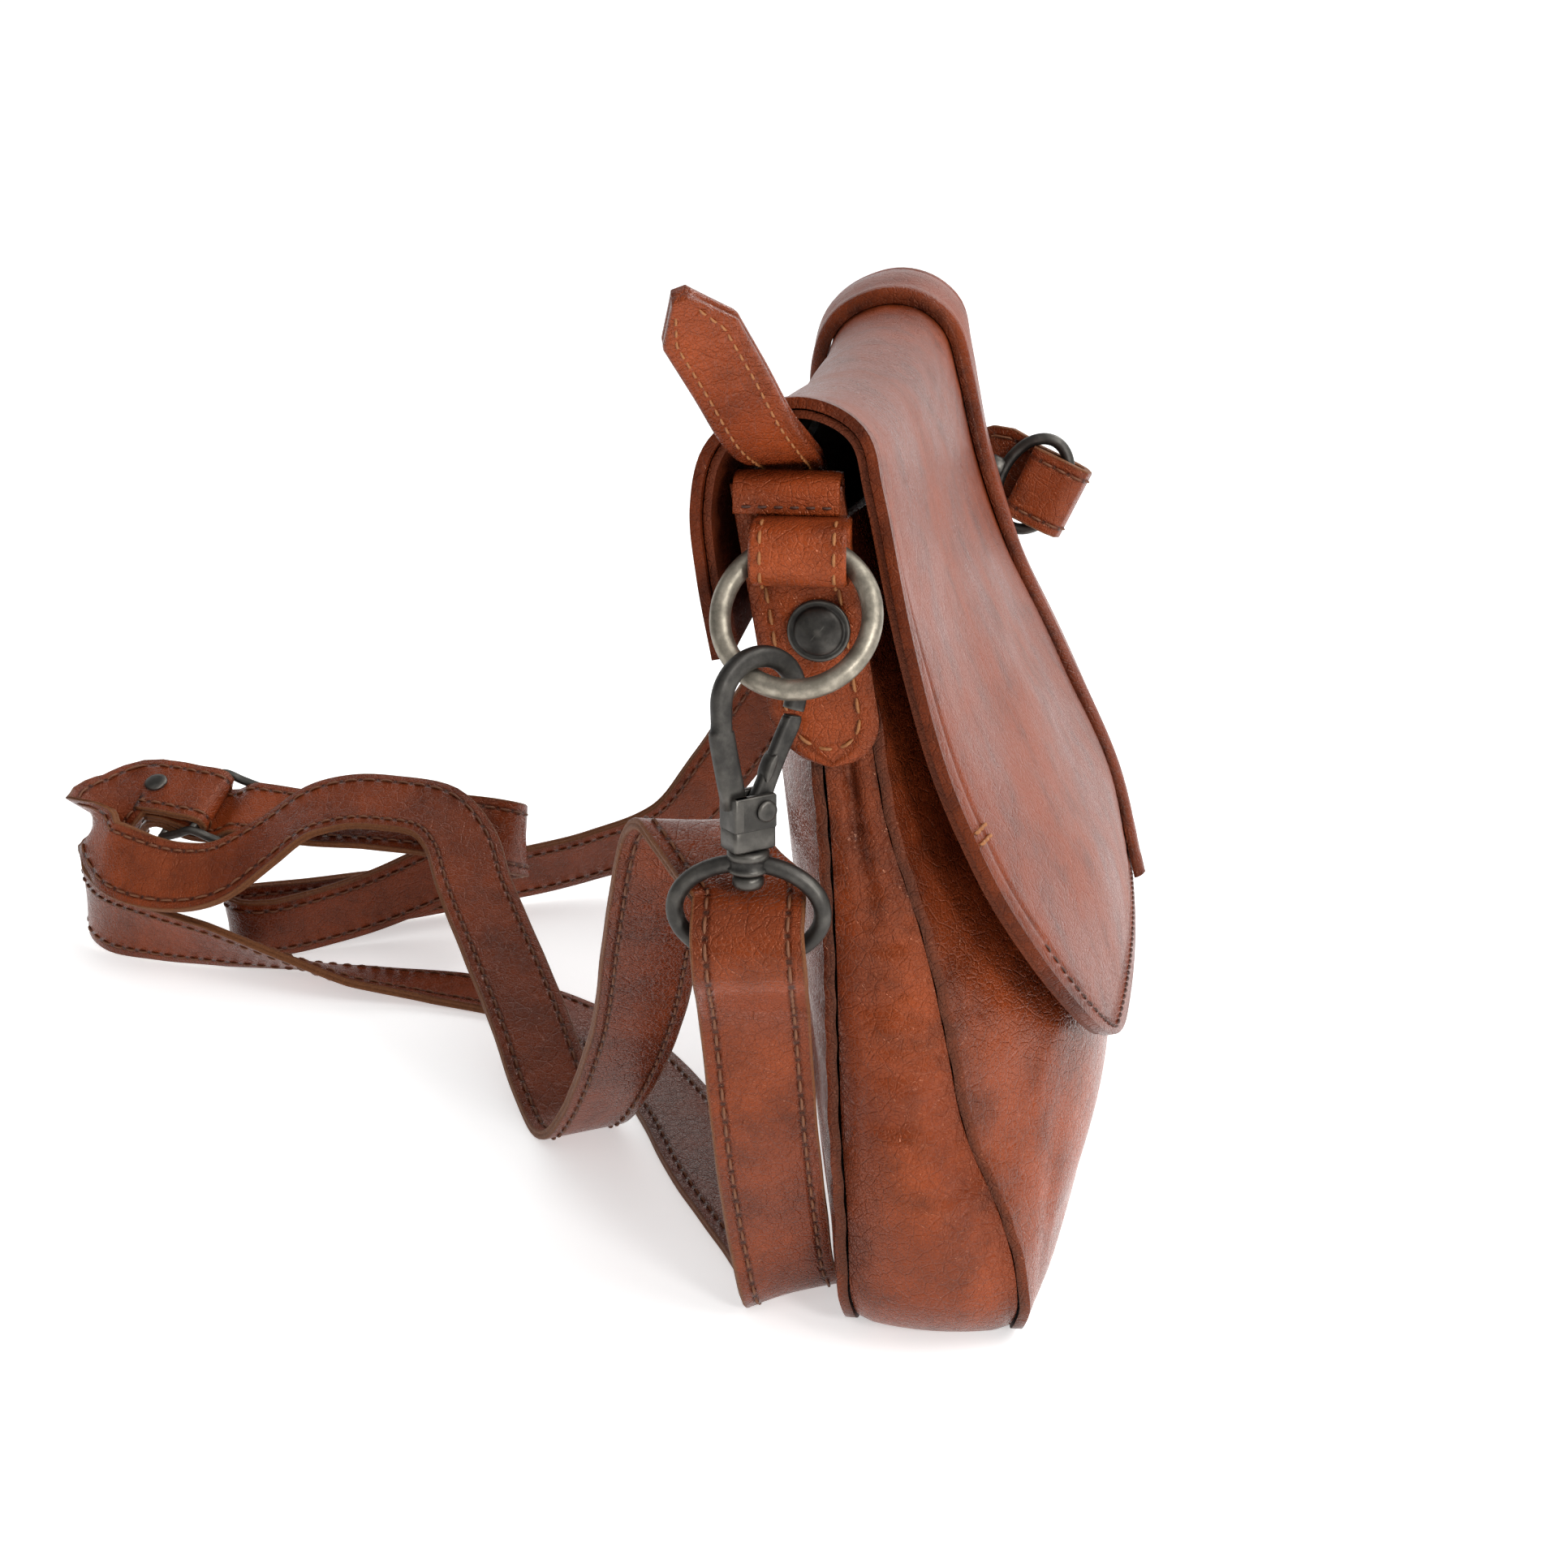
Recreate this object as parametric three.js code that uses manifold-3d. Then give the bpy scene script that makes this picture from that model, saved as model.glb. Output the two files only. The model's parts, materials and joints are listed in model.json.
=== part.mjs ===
// Small leather shoulder bag that stands on its base, with a flap, an adjustable strap and two clasps.
// Millimetres, +Z up. The front faces -Y, the width runs along X and the origin is the middle of the base.
import * as THREE from "three";
import { mergeVertices } from "three/addons/utils/BufferGeometryUtils.js";
import Module from "manifold-3d";

const wasm = await Module();
wasm.setup();

// Driving dimensions of the bag
const BAG_WIDTH = 224;
const BAG_HEIGHT = 175;
const BAG_DEPTH = 70;
const BASE_CORNER_RADIUS = 16;
const BODY_WALL = 2.2;
const SEAM_LIFT = 0.8;
const GUSSET_BULGE = 9;
const CLEARANCE = 0.3;
const SEAM_GAP = 0.4;

// Driving dimensions of the flap
const FLAP_WIDTH = 238;
const FLAP_HEIGHT = 196;
const FLAP_END_HEIGHT = 60;
const FLAP_BACK_HEIGHT = 150;
const FLAP_SAG = 7;
const FLAP_CORNER_RADIUS = 50;
const FLAP_WALL = 2;
const FACING_WALL = 1.5;
const FACING_INSET = 1.5;
const WAVE_WALL = 2.4;
const WAVE_RISE = 4.5;
const WAVE_ROLL = 9;

// Driving dimensions of the side tabs, loops, rings and studs
const TAB_WIDTH = 21;
const TAB_LENGTH = 54;
const TAB_TOP = 183;
const TAB_WALL = 2.2;
const TAB_TOP_Y = 29.5;
const TAB_TIP_Y = 20.5;
const CAP_LENGTH = 20;
const CAP_DROP = 5;
const CAP_WALL = 1.6;
const LOOP_WALL = 1.8;
const LOOP_LENGTH = 18;
const RING_RADIUS = 14;
const RING_WIRE = 2;
const RING_TILT = 32;
const RING_OUT = 12;
const RING_BELOW_TOP = 21.7;
const STUD_RADIUS = 6;
const STUD_HEIGHT = 3;
const STUD_DROP = 27;

// Driving dimensions of the clasps
const HOOK_RADIUS = 8;
const HOOK_WIRE = 2;
const HOOK_THICKNESS = 3.2;
const CLASP_TURN = -40;
const CLASP_SWING = 25;
const CLASP_LENGTH = 28;
const BLOCK_WIDTH = 9;
const BLOCK_THICKNESS = 6;
const GATE_THICKNESS = 2.6;
const GATE_WIDTH = 3.6;
const PIN_RADIUS = 1.2;
const STEM_RADIUS = 1.7;
const COLLAR_RADIUS = 4;
const COLLAR_HEIGHT = 4.5;
const KNOB_RADIUS = 3;
const EYE_WIDTH = 28;
const EYE_HEIGHT = 19;
const EYE_WIRE = 1.7;

// Driving dimensions of the strap, its slider and the zip's end tab
const STRAP_WIDTH = 21.5;
const STRAP_WALL = 2.5;
const SLIDER_LENGTH = 24;
const SLIDER_WIRE = 1.2;
const SLIDER_ARCH = 4.4;
const RIVET_RADIUS = 3.4;
const ZIP_TAB_WIDTH = 14;
const ZIP_TAB_WALL = 3.4;

// Heights as shares of the bag's height, then front and back of the wall as shares of its depth,
// at the side seams and at the middle of the width
const BODY_ROWS = [
  { height: 0.0, seamFront: -0.27, seamBack: 0.25, midFront: -0.3, midBack: 0.27 },
  { height: 0.07, seamFront: -0.3, seamBack: 0.27, midFront: -0.4, midBack: 0.34 },
  { height: 0.17, seamFront: -0.25, seamBack: 0.28, midFront: -0.49, midBack: 0.4 },
  { height: 0.29, seamFront: -0.13, seamBack: 0.3, midFront: -0.53, midBack: 0.44 },
  { height: 0.4, seamFront: -0.07, seamBack: 0.31, midFront: -0.5, midBack: 0.47 },
  { height: 0.52, seamFront: 0.0, seamBack: 0.32, midFront: -0.37, midBack: 0.5 },
  { height: 0.66, seamFront: 0.11, seamBack: 0.34, midFront: -0.17, midBack: 0.54 },
  { height: 0.8, seamFront: 0.17, seamBack: 0.38, midFront: 0.02, midBack: 0.57 },
  { height: 0.92, seamFront: 0.24, seamBack: 0.45, midFront: 0.14, midBack: 0.57 },
  { height: 1.0, seamFront: 0.28, seamBack: 0.49, midFront: 0.2, midBack: 0.56 },
];

// Free side edge of the flap: depth as a share of the bag's depth, height as a share of the flap's height
const FLAP_EDGE_ROWS = [
  { depth: 0.56, height: 0.77 },
  { depth: 0.6, height: 0.85 },
  { depth: 0.615, height: 0.915 },
  { depth: 0.58, height: 0.965 },
  { depth: 0.47, height: 0.993 },
  { depth: 0.36, height: 1.0 },
  { depth: 0.25, height: 0.98 },
  { depth: 0.21, height: 0.93 },
  { depth: 0.12, height: 0.78 },
  { depth: 0.02, height: 0.655 },
  { depth: -0.09, height: 0.565 },
  { depth: -0.25, height: 0.455 },
  { depth: -0.36, height: 0.37 },
  { depth: -0.42, height: 0.306 },
];

// Wavy seam across the flap: share of the way from its back edge to its front edge,
// and place across as a share of the flap's width
const WAVE_ROWS = [
  { along: 0.0, across: 0.37 },
  { along: 0.34, across: 0.36 },
  { along: 0.48, across: 0.347 },
  { along: 0.6, across: 0.318 },
  { along: 0.7, across: 0.263 },
  { along: 0.81, across: 0.19 },
  { along: 0.91, across: 0.12 },
  { along: 1.0, across: 0.075 },
];

const leather = new THREE.MeshStandardMaterial({ color: 0x8c3f1f, roughness: 0.45 });
const darkLeather = new THREE.MeshStandardMaterial({ color: 0x5e2a15, roughness: 0.6 });
const ringMetal = new THREE.MeshStandardMaterial({ color: 0x8a8272, roughness: 0.35, metalness: 1 });
const claspMetal = new THREE.MeshStandardMaterial({ color: 0x4a4640, roughness: 0.4, metalness: 1 });

const vec = (x, y, z) => new THREE.Vector3(x, y, z);
const radians = THREE.MathUtils.degToRad;
const lerp = THREE.MathUtils.lerp;

// Value of one column of a table, eased between its rows
function tableValue(rows, key, column, at) {
  const last = rows.length - 1;
  let i = 0;
  while (i < last - 1 && at > rows[i + 1][key]) i += 1;
  const share = THREE.MathUtils.clamp((at - rows[i][key]) / (rows[i + 1][key] - rows[i][key]), 0, 1);
  const before = rows[Math.max(i - 1, 0)][column];
  const after = rows[Math.min(i + 2, last)][column];
  const from = rows[i][column];
  const to = rows[i + 1][column];
  const square = share * share;
  return from + 0.5 * share * (to - before)
    + square * (before - 2.5 * from + 2 * to - 0.5 * after)
    + square * share * (1.5 * (from - to) + 0.5 * (after - before));
}

// Closed body from rows of equal loops of points; the ends are capped, or joined where closed is true
function loftBody(loops, closed = false) {
  const count = loops[0].length;
  const positions = loops.flat().flatMap((p) => p.toArray());
  const faces = [];
  const steps = closed ? loops.length : loops.length - 1;
  for (let i = 0; i < steps; i += 1) {
    const row = i * count;
    const next = ((i + 1) % loops.length) * count;
    for (let j = 0; j < count; j += 1) {
      const k = (j + 1) % count;
      faces.push(row + j, next + j, next + k, row + j, next + k, row + k);
    }
  }
  if (!closed) {
    for (let j = 1; j < count - 1; j += 1) faces.push(0, j, j + 1);
    const end = (loops.length - 1) * count;
    for (let j = 1; j < count - 1; j += 1) faces.push(end, end + j + 1, end + j);
  }
  return outward(positions, faces);
}

// Closed wall between an outer and an inner grid of points
function wallBody(outer, inner) {
  const rows = outer.length;
  const columns = outer[0].length;
  const positions = [...outer.flat(), ...inner.flat()].flatMap((p) => p.toArray());
  const offset = rows * columns;
  const at = (i, j) => i * columns + j;
  const faces = [];
  const quad = (a, b, c, d) => faces.push(a, b, c, a, c, d);
  for (let i = 0; i < rows - 1; i += 1) {
    for (let j = 0; j < columns - 1; j += 1) {
      quad(at(i, j), at(i, j + 1), at(i + 1, j + 1), at(i + 1, j));
      quad(offset + at(i, j), offset + at(i + 1, j), offset + at(i + 1, j + 1), offset + at(i, j + 1));
    }
  }
  for (let j = 0; j < columns - 1; j += 1) {
    quad(at(0, j), offset + at(0, j), offset + at(0, j + 1), at(0, j + 1));
    quad(at(rows - 1, j), at(rows - 1, j + 1), offset + at(rows - 1, j + 1), offset + at(rows - 1, j));
  }
  for (let i = 0; i < rows - 1; i += 1) {
    quad(at(i, 0), at(i + 1, 0), offset + at(i + 1, 0), offset + at(i, 0));
    quad(at(i, columns - 1), offset + at(i, columns - 1), offset + at(i + 1, columns - 1),
      at(i + 1, columns - 1));
  }
  return outward(positions, faces);
}

// Geometry whose faces point out: the order is turned round where the signed volume is negative
function outward(positions, faces) {
  let volume = 0;
  const a = vec(0, 0, 0);
  const b = vec(0, 0, 0);
  const c = vec(0, 0, 0);
  for (let i = 0; i < faces.length; i += 3) {
    a.fromArray(positions, faces[i] * 3);
    b.fromArray(positions, faces[i + 1] * 3);
    c.fromArray(positions, faces[i + 2] * 3);
    volume += a.dot(b.cross(c));
  }
  if (volume < 0) faces.reverse();
  const geometry = new THREE.BufferGeometry();
  geometry.setAttribute("position", new THREE.Float32BufferAttribute(positions, 3));
  geometry.setIndex(faces);
  return geometry;
}

// Each point of a grid moved along the surface's normal; side is 1 or -1
function offsetGrid(grid, distance, side) {
  return grid.map((row, i) => row.map((point, j) => {
    const down = grid[Math.min(i + 1, grid.length - 1)][j].clone().sub(grid[Math.max(i - 1, 0)][j]);
    const across = row[Math.min(j + 1, row.length - 1)].clone().sub(row[Math.max(j - 1, 0)]);
    const length = typeof distance === "function" ? distance(i, j) : distance;
    return point.clone().addScaledVector(across.cross(down).normalize(), side * length);
  }));
}

function toManifold(geometry) {
  const bare = geometry.clone();
  bare.deleteAttribute("normal");
  bare.deleteAttribute("uv");
  const merged = mergeVertices(bare, 1e-4);
  return new wasm.Manifold(new wasm.Mesh({
    numProp: 3,
    vertProperties: Float32Array.from(merged.attributes.position.array),
    triVerts: Uint32Array.from(merged.index.array),
  }));
}

function fromManifold(solid) {
  const mesh = solid.getMesh();
  const geometry = new THREE.BufferGeometry();
  geometry.setAttribute("position", new THREE.BufferAttribute(mesh.vertProperties, 3));
  geometry.setIndex(new THREE.BufferAttribute(mesh.triVerts, 1));
  return geometry;
}

const part = new THREE.Group();
part.name = "shoulder_bag";

function addPiece(name, geometry, material, parent = part) {
  const mesh = new THREE.Mesh(geometry, material);
  mesh.name = name;
  parent.add(mesh);
  return mesh;
}

// Body of the bag: front and back panels and one gusset strip round the sides and base

const bodyY = (column, z) => BAG_DEPTH * tableValue(BODY_ROWS, "height", column, z / BAG_HEIGHT);

function bodyHalfWidth(z) {
  const into = Math.max(BASE_CORNER_RADIUS - z, 0);
  return BAG_WIDTH / 2 - BASE_CORNER_RADIUS + Math.sqrt(BASE_CORNER_RADIUS ** 2 - into ** 2);
}

const PANEL_ROLL = 4;

function panelY(side, x, z) {
  const share = Math.min(Math.abs(x) / bodyHalfWidth(z), 1);
  const seam = bodyY(`seam${side}`, z);
  return seam + (bodyY(`mid${side}`, z) - seam) * (1 - share ** PANEL_ROLL);
}

// Heights of the seam line: dense round the base corner, then even up the side
const CORNER_STEPS = 5;
const SIDE_STEPS = 11;
const seamHeights = [];
for (let i = 0; i <= CORNER_STEPS; i += 1) {
  seamHeights.push(BASE_CORNER_RADIUS * (1 - Math.cos((Math.PI / 2) * (i / CORNER_STEPS))));
}
for (let i = 1; i <= SIDE_STEPS; i += 1) {
  seamHeights.push(lerp(BASE_CORNER_RADIUS, BAG_HEIGHT, i / SIDE_STEPS));
}

// Places across a panel as shares of its half width, closer together towards the seams
const PANEL_COLUMNS = 22;
const panelShares = Array.from({ length: PANEL_COLUMNS + 1 },
  (_, j) => Math.sin((Math.PI / 2) * (2 * j / PANEL_COLUMNS - 1)));

function makePanel(name, side) {
  const inward = side === "Front" ? 1 : -1;
  const outer = seamHeights.map((z) => panelShares.map((share) => {
    const x = bodyHalfWidth(z) * share;
    return vec(x, panelY(side, x, z), z + SEAM_LIFT);
  }));
  const inner = outer.map((row) => row.map((p) => vec(p.x, p.y + inward * BODY_WALL, p.z)));
  addPiece(name, wallBody(outer, inner), leather);
}
makePanel("front_panel", "Front");
makePanel("back_panel", "Back");

// The gusset runs down the near side, along the base and up the far side
function makeGusset() {
  const line = [];
  for (const z of [...seamHeights].reverse()) line.push([-bodyHalfWidth(z), z]);
  for (const share of panelShares.slice(1, -1)) line.push([bodyHalfWidth(0) * share, 0]);
  for (const z of seamHeights) line.push([bodyHalfWidth(z), z]);
  const across = [-1, -0.8, -0.4, 0, 0.4, 0.8, 1];
  const section = (x, z, wall) => across.map((w) => {
    const front = panelY("Front", x, z) + BODY_WALL + SEAM_GAP;
    const back = panelY("Back", x, z) - BODY_WALL - SEAM_GAP;
    const y = lerp(front, back, (w + 1) / 2);
    const height = z / BAG_HEIGHT;
    const side = Math.abs(x) > bodyHalfWidth(0) ? Math.sign(x) : 0;
    const swell = GUSSET_BULGE * (1 - w * w) * Math.exp(-(((height - 0.22) / 0.2) ** 2));
    const lift = SEAM_LIFT * Math.min(1, Math.max(0, (Math.abs(w) - 0.8) * 5));
    const round = Math.min(z / BASE_CORNER_RADIUS, 1);
    const inX = side * round * wall;
    const inZ = (1 - round) * wall;
    const rise = lift + Math.min(z, SEAM_LIFT);
    return vec(x + side * swell - inX, y, z + rise + inZ);
  });
  const outer = line.map(([x, z]) => section(x, z, 0));
  const inner = line.map(([x, z]) => section(x, z, BODY_WALL));
  addPiece("gusset", wallBody(outer, inner), leather);
}
makeGusset();

// Flap: lies on the back panel, arches over the mouth and falls down the front

const flapLift = BODY_WALL + CLEARANCE;
const flapMid = (() => {
  const back = [];
  for (const share of [0, 0.5, 1]) {
    const z = lerp(FLAP_BACK_HEIGHT, BAG_HEIGHT, share);
    back.push(vec(0, bodyY("midBack", z) + 2 * CLEARANCE, z + SEAM_LIFT));
  }
  const crownY = BAG_DEPTH * 0.37;
  const crownZ = FLAP_HEIGHT - FLAP_SAG;
  const front = [];
  for (const share of [0, 0.2, 0.4, 0.6, 0.8, 1]) {
    const z = lerp(BAG_HEIGHT, FLAP_END_HEIGHT, share);
    front.push(vec(0, bodyY("midFront", z) - flapLift * 0.6, z));
  }
  const rearShoulder = vec(0, lerp(back[2].y, crownY, 0.35), lerp(back[2].z, crownZ, 0.75));
  const foreShoulder = vec(0, lerp(front[0].y, crownY, 0.35), lerp(front[0].z, crownZ, 0.75));
  return new THREE.CatmullRomCurve3([...back, rearShoulder, vec(0, crownY, crownZ), foreShoulder, ...front]);
})();
const flapEdge = new THREE.CatmullRomCurve3(
  FLAP_EDGE_ROWS.map((row) => vec(0, row.depth * BAG_DEPTH, row.height * FLAP_HEIGHT)));
const flapLength = flapMid.getLength();

function flapHalfWidth(along, inset) {
  const toEnd = Math.max((1 - along) * flapLength, 0);
  const into = Math.max(FLAP_CORNER_RADIUS - toEnd, 0);
  const corner = FLAP_CORNER_RADIUS - Math.sqrt(Math.max(FLAP_CORNER_RADIUS ** 2 - into ** 2, 0));
  return FLAP_WIDTH / 2 - corner - inset;
}

// Point of the flap's underside at a place across, in millimetres, and a share of the way along
function flapPoint(x, along) {
  const blend = Math.min(Math.abs(x) / (FLAP_WIDTH / 2), 1) ** 2.2;
  const mid = flapMid.getPointAt(along);
  const edge = flapEdge.getPointAt(along);
  return vec(x, lerp(mid.y, edge.y, blend), lerp(mid.z, edge.z, blend));
}

// Shares along the flap: even, then dense round the front corners
const flapShares = (() => {
  const cornerStart = 1 - FLAP_CORNER_RADIUS / flapLength;
  const shares = [];
  for (let i = 0; i < 18; i += 1) shares.push(cornerStart * (i / 18));
  for (let i = 0; i <= 6; i += 1) shares.push(1 - (1 - cornerStart) * (1 - Math.sin((Math.PI / 2) * (i / 6))));
  return shares;
})();

function flapGrid(columns, inset) {
  const end = 1 - inset / flapLength;
  return flapShares.map((share) => Array.from({ length: columns + 1 }, (_, j) => {
    const along = share * end;
    const x = flapHalfWidth(along, inset) * (2 * j / columns - 1);
    return flapPoint(x, along);
  }));
}

function makeFlap() {
  const facing = flapGrid(20, FACING_INSET);
  const under = flapGrid(20, 0);
  const facingTop = offsetGrid(facing, FACING_WALL, -1);
  addPiece("flap_facing", wallBody(facingTop, facing), darkLeather);
  const low = offsetGrid(under, FACING_WALL + CLEARANCE, -1);
  const high = offsetGrid(under, FACING_WALL + CLEARANCE + FLAP_WALL, -1);
  addPiece("flap", wallBody(high, low), leather);
}
makeFlap();

// Overlaid wave panel: from the wavy seam to the flap's far edge, rolled and raised along the seam
function makeWavePanel() {
  const columns = 8;
  const base = FACING_WALL + FLAP_WALL + 2 * CLEARANCE;
  const grid = flapShares.map((along) => Array.from({ length: columns + 1 }, (_, j) => {
    const seam = FLAP_WIDTH * tableValue(WAVE_ROWS, "along", "across", along);
    const start = Math.min(seam, flapHalfWidth(along, 0) - WAVE_ROLL);
    const spacing = j === 0 ? 0 : lerp(WAVE_ROLL * 0.5, flapHalfWidth(along, 0) - start, (j - 1) / (columns - 1));
    return flapPoint(start + spacing, along);
  }));
  const rise = (i, j) => {
    const crown = Math.exp(-(((flapShares[i] - 0.28) / 0.3) ** 2));
    const roll = Math.sin(Math.PI * Math.min((j + 0.6) / (columns + 1), 1)) ** 0.7;
    return WAVE_RISE * crown * roll;
  };
  const low = offsetGrid(grid, (i, j) => base + (j === 0 || j === columns ? 0 : rise(i, j)), -1);
  const high = offsetGrid(grid, (i, j) => base + WAVE_WALL + rise(i, j), -1);
  addPiece("flap_wave_panel", wallBody(high, low), leather);
}
makeWavePanel();

// Side tabs with their cap strips, ring loops, rings and studs; side is -1 near and 1 far

const tabInner = BAG_WIDTH / 2 + CLEARANCE + 1;
const tabFace = tabInner + TAB_WALL;
const tabY = (z) => lerp(TAB_TOP_Y, TAB_TIP_Y, (TAB_TOP - z) / TAB_LENGTH);
const ringCentre = vec(tabFace + RING_OUT, tabY(TAB_TOP - RING_BELOW_TOP), TAB_TOP - RING_BELOW_TOP);

function makeTab(side, label) {
  const steps = 5;
  const heights = [TAB_TOP];
  for (let i = 1; i <= steps; i += 1) {
    heights.push(lerp(TAB_TOP, TAB_TOP - TAB_LENGTH + TAB_WIDTH / 2, i / steps));
  }
  for (let i = 1; i <= 6; i += 1) {
    heights.push(TAB_TOP - TAB_LENGTH + (TAB_WIDTH / 2) * (1 - Math.sin((Math.PI / 2) * (i / 6.3))));
  }
  const halfWidth = (z) => {
    const into = Math.max(TAB_TOP - TAB_LENGTH + TAB_WIDTH / 2 - z, 0);
    return Math.sqrt(Math.max((TAB_WIDTH / 2) ** 2 - into ** 2, 0));
  };
  const grid = (x) => heights.map((z) => [-1, -0.5, 0, 0.5, 1].map((w) =>
    vec(side * (x - 0.8 * w * w), tabY(z) + w * halfWidth(z), z)));
  addPiece(`side_tab_${label}`, wallBody(grid(tabFace), grid(tabInner)), leather);

  const capHalf = CAP_WALL / 2;
  const legOut = tabFace + CLEARANCE + capHalf;
  const legIn = BAG_WIDTH / 2 - BODY_WALL - CLEARANCE - capHalf - 0.8;
  const top = TAB_TOP + CLEARANCE + capHalf;
  const path = [
    [legOut, TAB_TOP - CAP_DROP],
    [legOut, top - 1.2],
    [legOut - 1.2, top],
    [legIn + 1.2, top],
    [legIn, top - 1.2],
    [legIn, BAG_HEIGHT + 2 * SEAM_LIFT + CLEARANCE],
  ];
  const loops = path.map(([x, z], i) => {
    const before = path[Math.max(i - 1, 0)];
    const after = path[Math.min(i + 1, path.length - 1)];
    const along = new THREE.Vector2(after[0] - before[0], after[1] - before[1]).normalize();
    const out = new THREE.Vector2(-along.y, along.x).multiplyScalar(capHalf);
    return [[1, 1], [1, -1], [-1, -1], [-1, 1]].map(([w, n]) =>
      vec(side * (x + n * out.x), tabY(z) + w * CAP_LENGTH / 2, z + n * out.y));
  });
  addPiece(`side_cap_${label}`, loftBody(loops), leather);
}

// Loop of leather that holds the ring against the tab: a D section open along Y
function makeRingLoop(side, label) {
  const reach = LOOP_LENGTH / 2;
  const arcDrop = RING_RADIUS - Math.sqrt(RING_RADIUS ** 2 - reach ** 2);
  const tilt = radians(RING_TILT);
  const ringTop = vec(ringCentre.x - RING_RADIUS * Math.sin(tilt), 0, ringCentre.z + RING_RADIUS * Math.cos(tilt));
  const holeHalf = (2 * RING_WIRE + arcDrop * Math.cos(tilt)) / 2 + 3 * CLEARANCE;
  const middleZ = ringTop.z - (arcDrop * Math.cos(tilt)) / 2;
  const holeBack = tabFace + CLEARANCE + LOOP_WALL;
  const holeFront = ringTop.x + RING_WIRE + arcDrop * Math.sin(tilt) + 5 * CLEARANCE;
  const outline = (grow) => {
    const points = [];
    const back = holeBack - grow;
    const radius = holeHalf + grow;
    points.push([back, middleZ - radius], [back, middleZ + radius]);
    const bow = Math.max(holeFront - holeBack - 2, 1);
    for (let i = 0; i <= 8; i += 1) {
      const angle = Math.PI / 2 - Math.PI * (i / 8);
      const x = holeBack + 2 + (bow + grow) * Math.cos(angle) ** 0.6;
      points.push([x, middleZ + radius * Math.sign(Math.sin(angle)) * Math.abs(Math.sin(angle)) ** 0.6]);
    }
    return points;
  };
  const extrude = (grow, length) => {
    const shape = new THREE.Shape(outline(grow).map(([x, z]) => new THREE.Vector2(x, z)));
    const geometry = new THREE.ExtrudeGeometry(shape, { depth: length, bevelEnabled: false });
    geometry.rotateX(Math.PI / 2);
    geometry.translate(0, length / 2, 0);
    return geometry;
  };
  const body = toManifold(extrude(LOOP_WALL, LOOP_LENGTH)).subtract(toManifold(extrude(0, LOOP_LENGTH + 2)));
  const geometry = fromManifold(body);
  geometry.translate(0, ringCentre.y, 0);
  if (side < 0) mirrorX(geometry);
  addPiece(`ring_loop_${label}`, geometry, leather);
}

function mirrorX(geometry) {
  const position = geometry.attributes.position;
  for (let i = 0; i < position.count; i += 1) position.setX(i, -position.getX(i));
  const index = geometry.index;
  for (let i = 0; i < index.count; i += 3) {
    const kept = index.getX(i);
    index.setX(i, index.getX(i + 1));
    index.setX(i + 1, kept);
  }
}

// Round bar bent round a closed path of points, each with its own bar axis frame
function closedWire(centres, radius, sides, normal) {
  const count = centres.length;
  return loftBody(centres.map((centre, i) => {
    const along = centres[(i + 1) % count].clone().sub(centres[(i + count - 1) % count]).normalize();
    const out = along.clone().cross(normal).normalize();
    return Array.from({ length: sides }, (_, j) => {
      const angle = (2 * Math.PI * j) / sides;
      return centre.clone()
        .addScaledVector(out, radius * Math.cos(angle))
        .addScaledVector(normal, radius * Math.sin(angle));
    });
  }), true);
}

function ovalPoints(centre, across, up, halfWidth, halfHeight, count) {
  return Array.from({ length: count }, (_, i) => {
    const angle = (2 * Math.PI * i) / count;
    return centre.clone()
      .addScaledVector(across, halfWidth * Math.cos(angle))
      .addScaledVector(up, halfHeight * Math.sin(angle));
  });
}

function ringUp(side) {
  return vec(-side * Math.sin(radians(RING_TILT)), 0, Math.cos(radians(RING_TILT)));
}

function makeRing(side, label) {
  const centre = vec(side * ringCentre.x, ringCentre.y, ringCentre.z);
  const across = vec(0, 1, 0);
  const up = ringUp(side);
  const points = ovalPoints(centre, across, up, RING_RADIUS, RING_RADIUS, 28);
  addPiece(`ring_${label}`, closedWire(points, RING_WIRE, 8, across.clone().cross(up)), ringMetal);
}

function makeStud(side, label) {
  const z = TAB_TOP - STUD_DROP;
  const profile = [[0, 0], [STUD_RADIUS, 0], [STUD_RADIUS, 0.35 * STUD_HEIGHT],
    [0.8 * STUD_RADIUS, 0.75 * STUD_HEIGHT], [0.4 * STUD_RADIUS, STUD_HEIGHT], [0, STUD_HEIGHT]];
  const geometry = new THREE.LatheGeometry(profile.map(([r, h]) => new THREE.Vector2(r, h)), 20);
  geometry.rotateZ(-side * Math.PI / 2);
  geometry.translate(side * (tabFace + CLEARANCE), tabY(z) - 2, z);
  addPiece(`side_stud_${label}`, geometry, claspMetal);
}

for (const [side, label] of [[-1, "near"], [1, "far"]]) {
  makeTab(side, label);
  makeRingLoop(side, label);
  makeRing(side, label);
  makeStud(side, label);
}

// Near clasp: hook with its block, stem and knob, a sprung gate, the gate's pin, and a swivel eye.
// Its own frame has +U towards the gate, +V through the thickness and +Z up, from the hook's centre.

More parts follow.
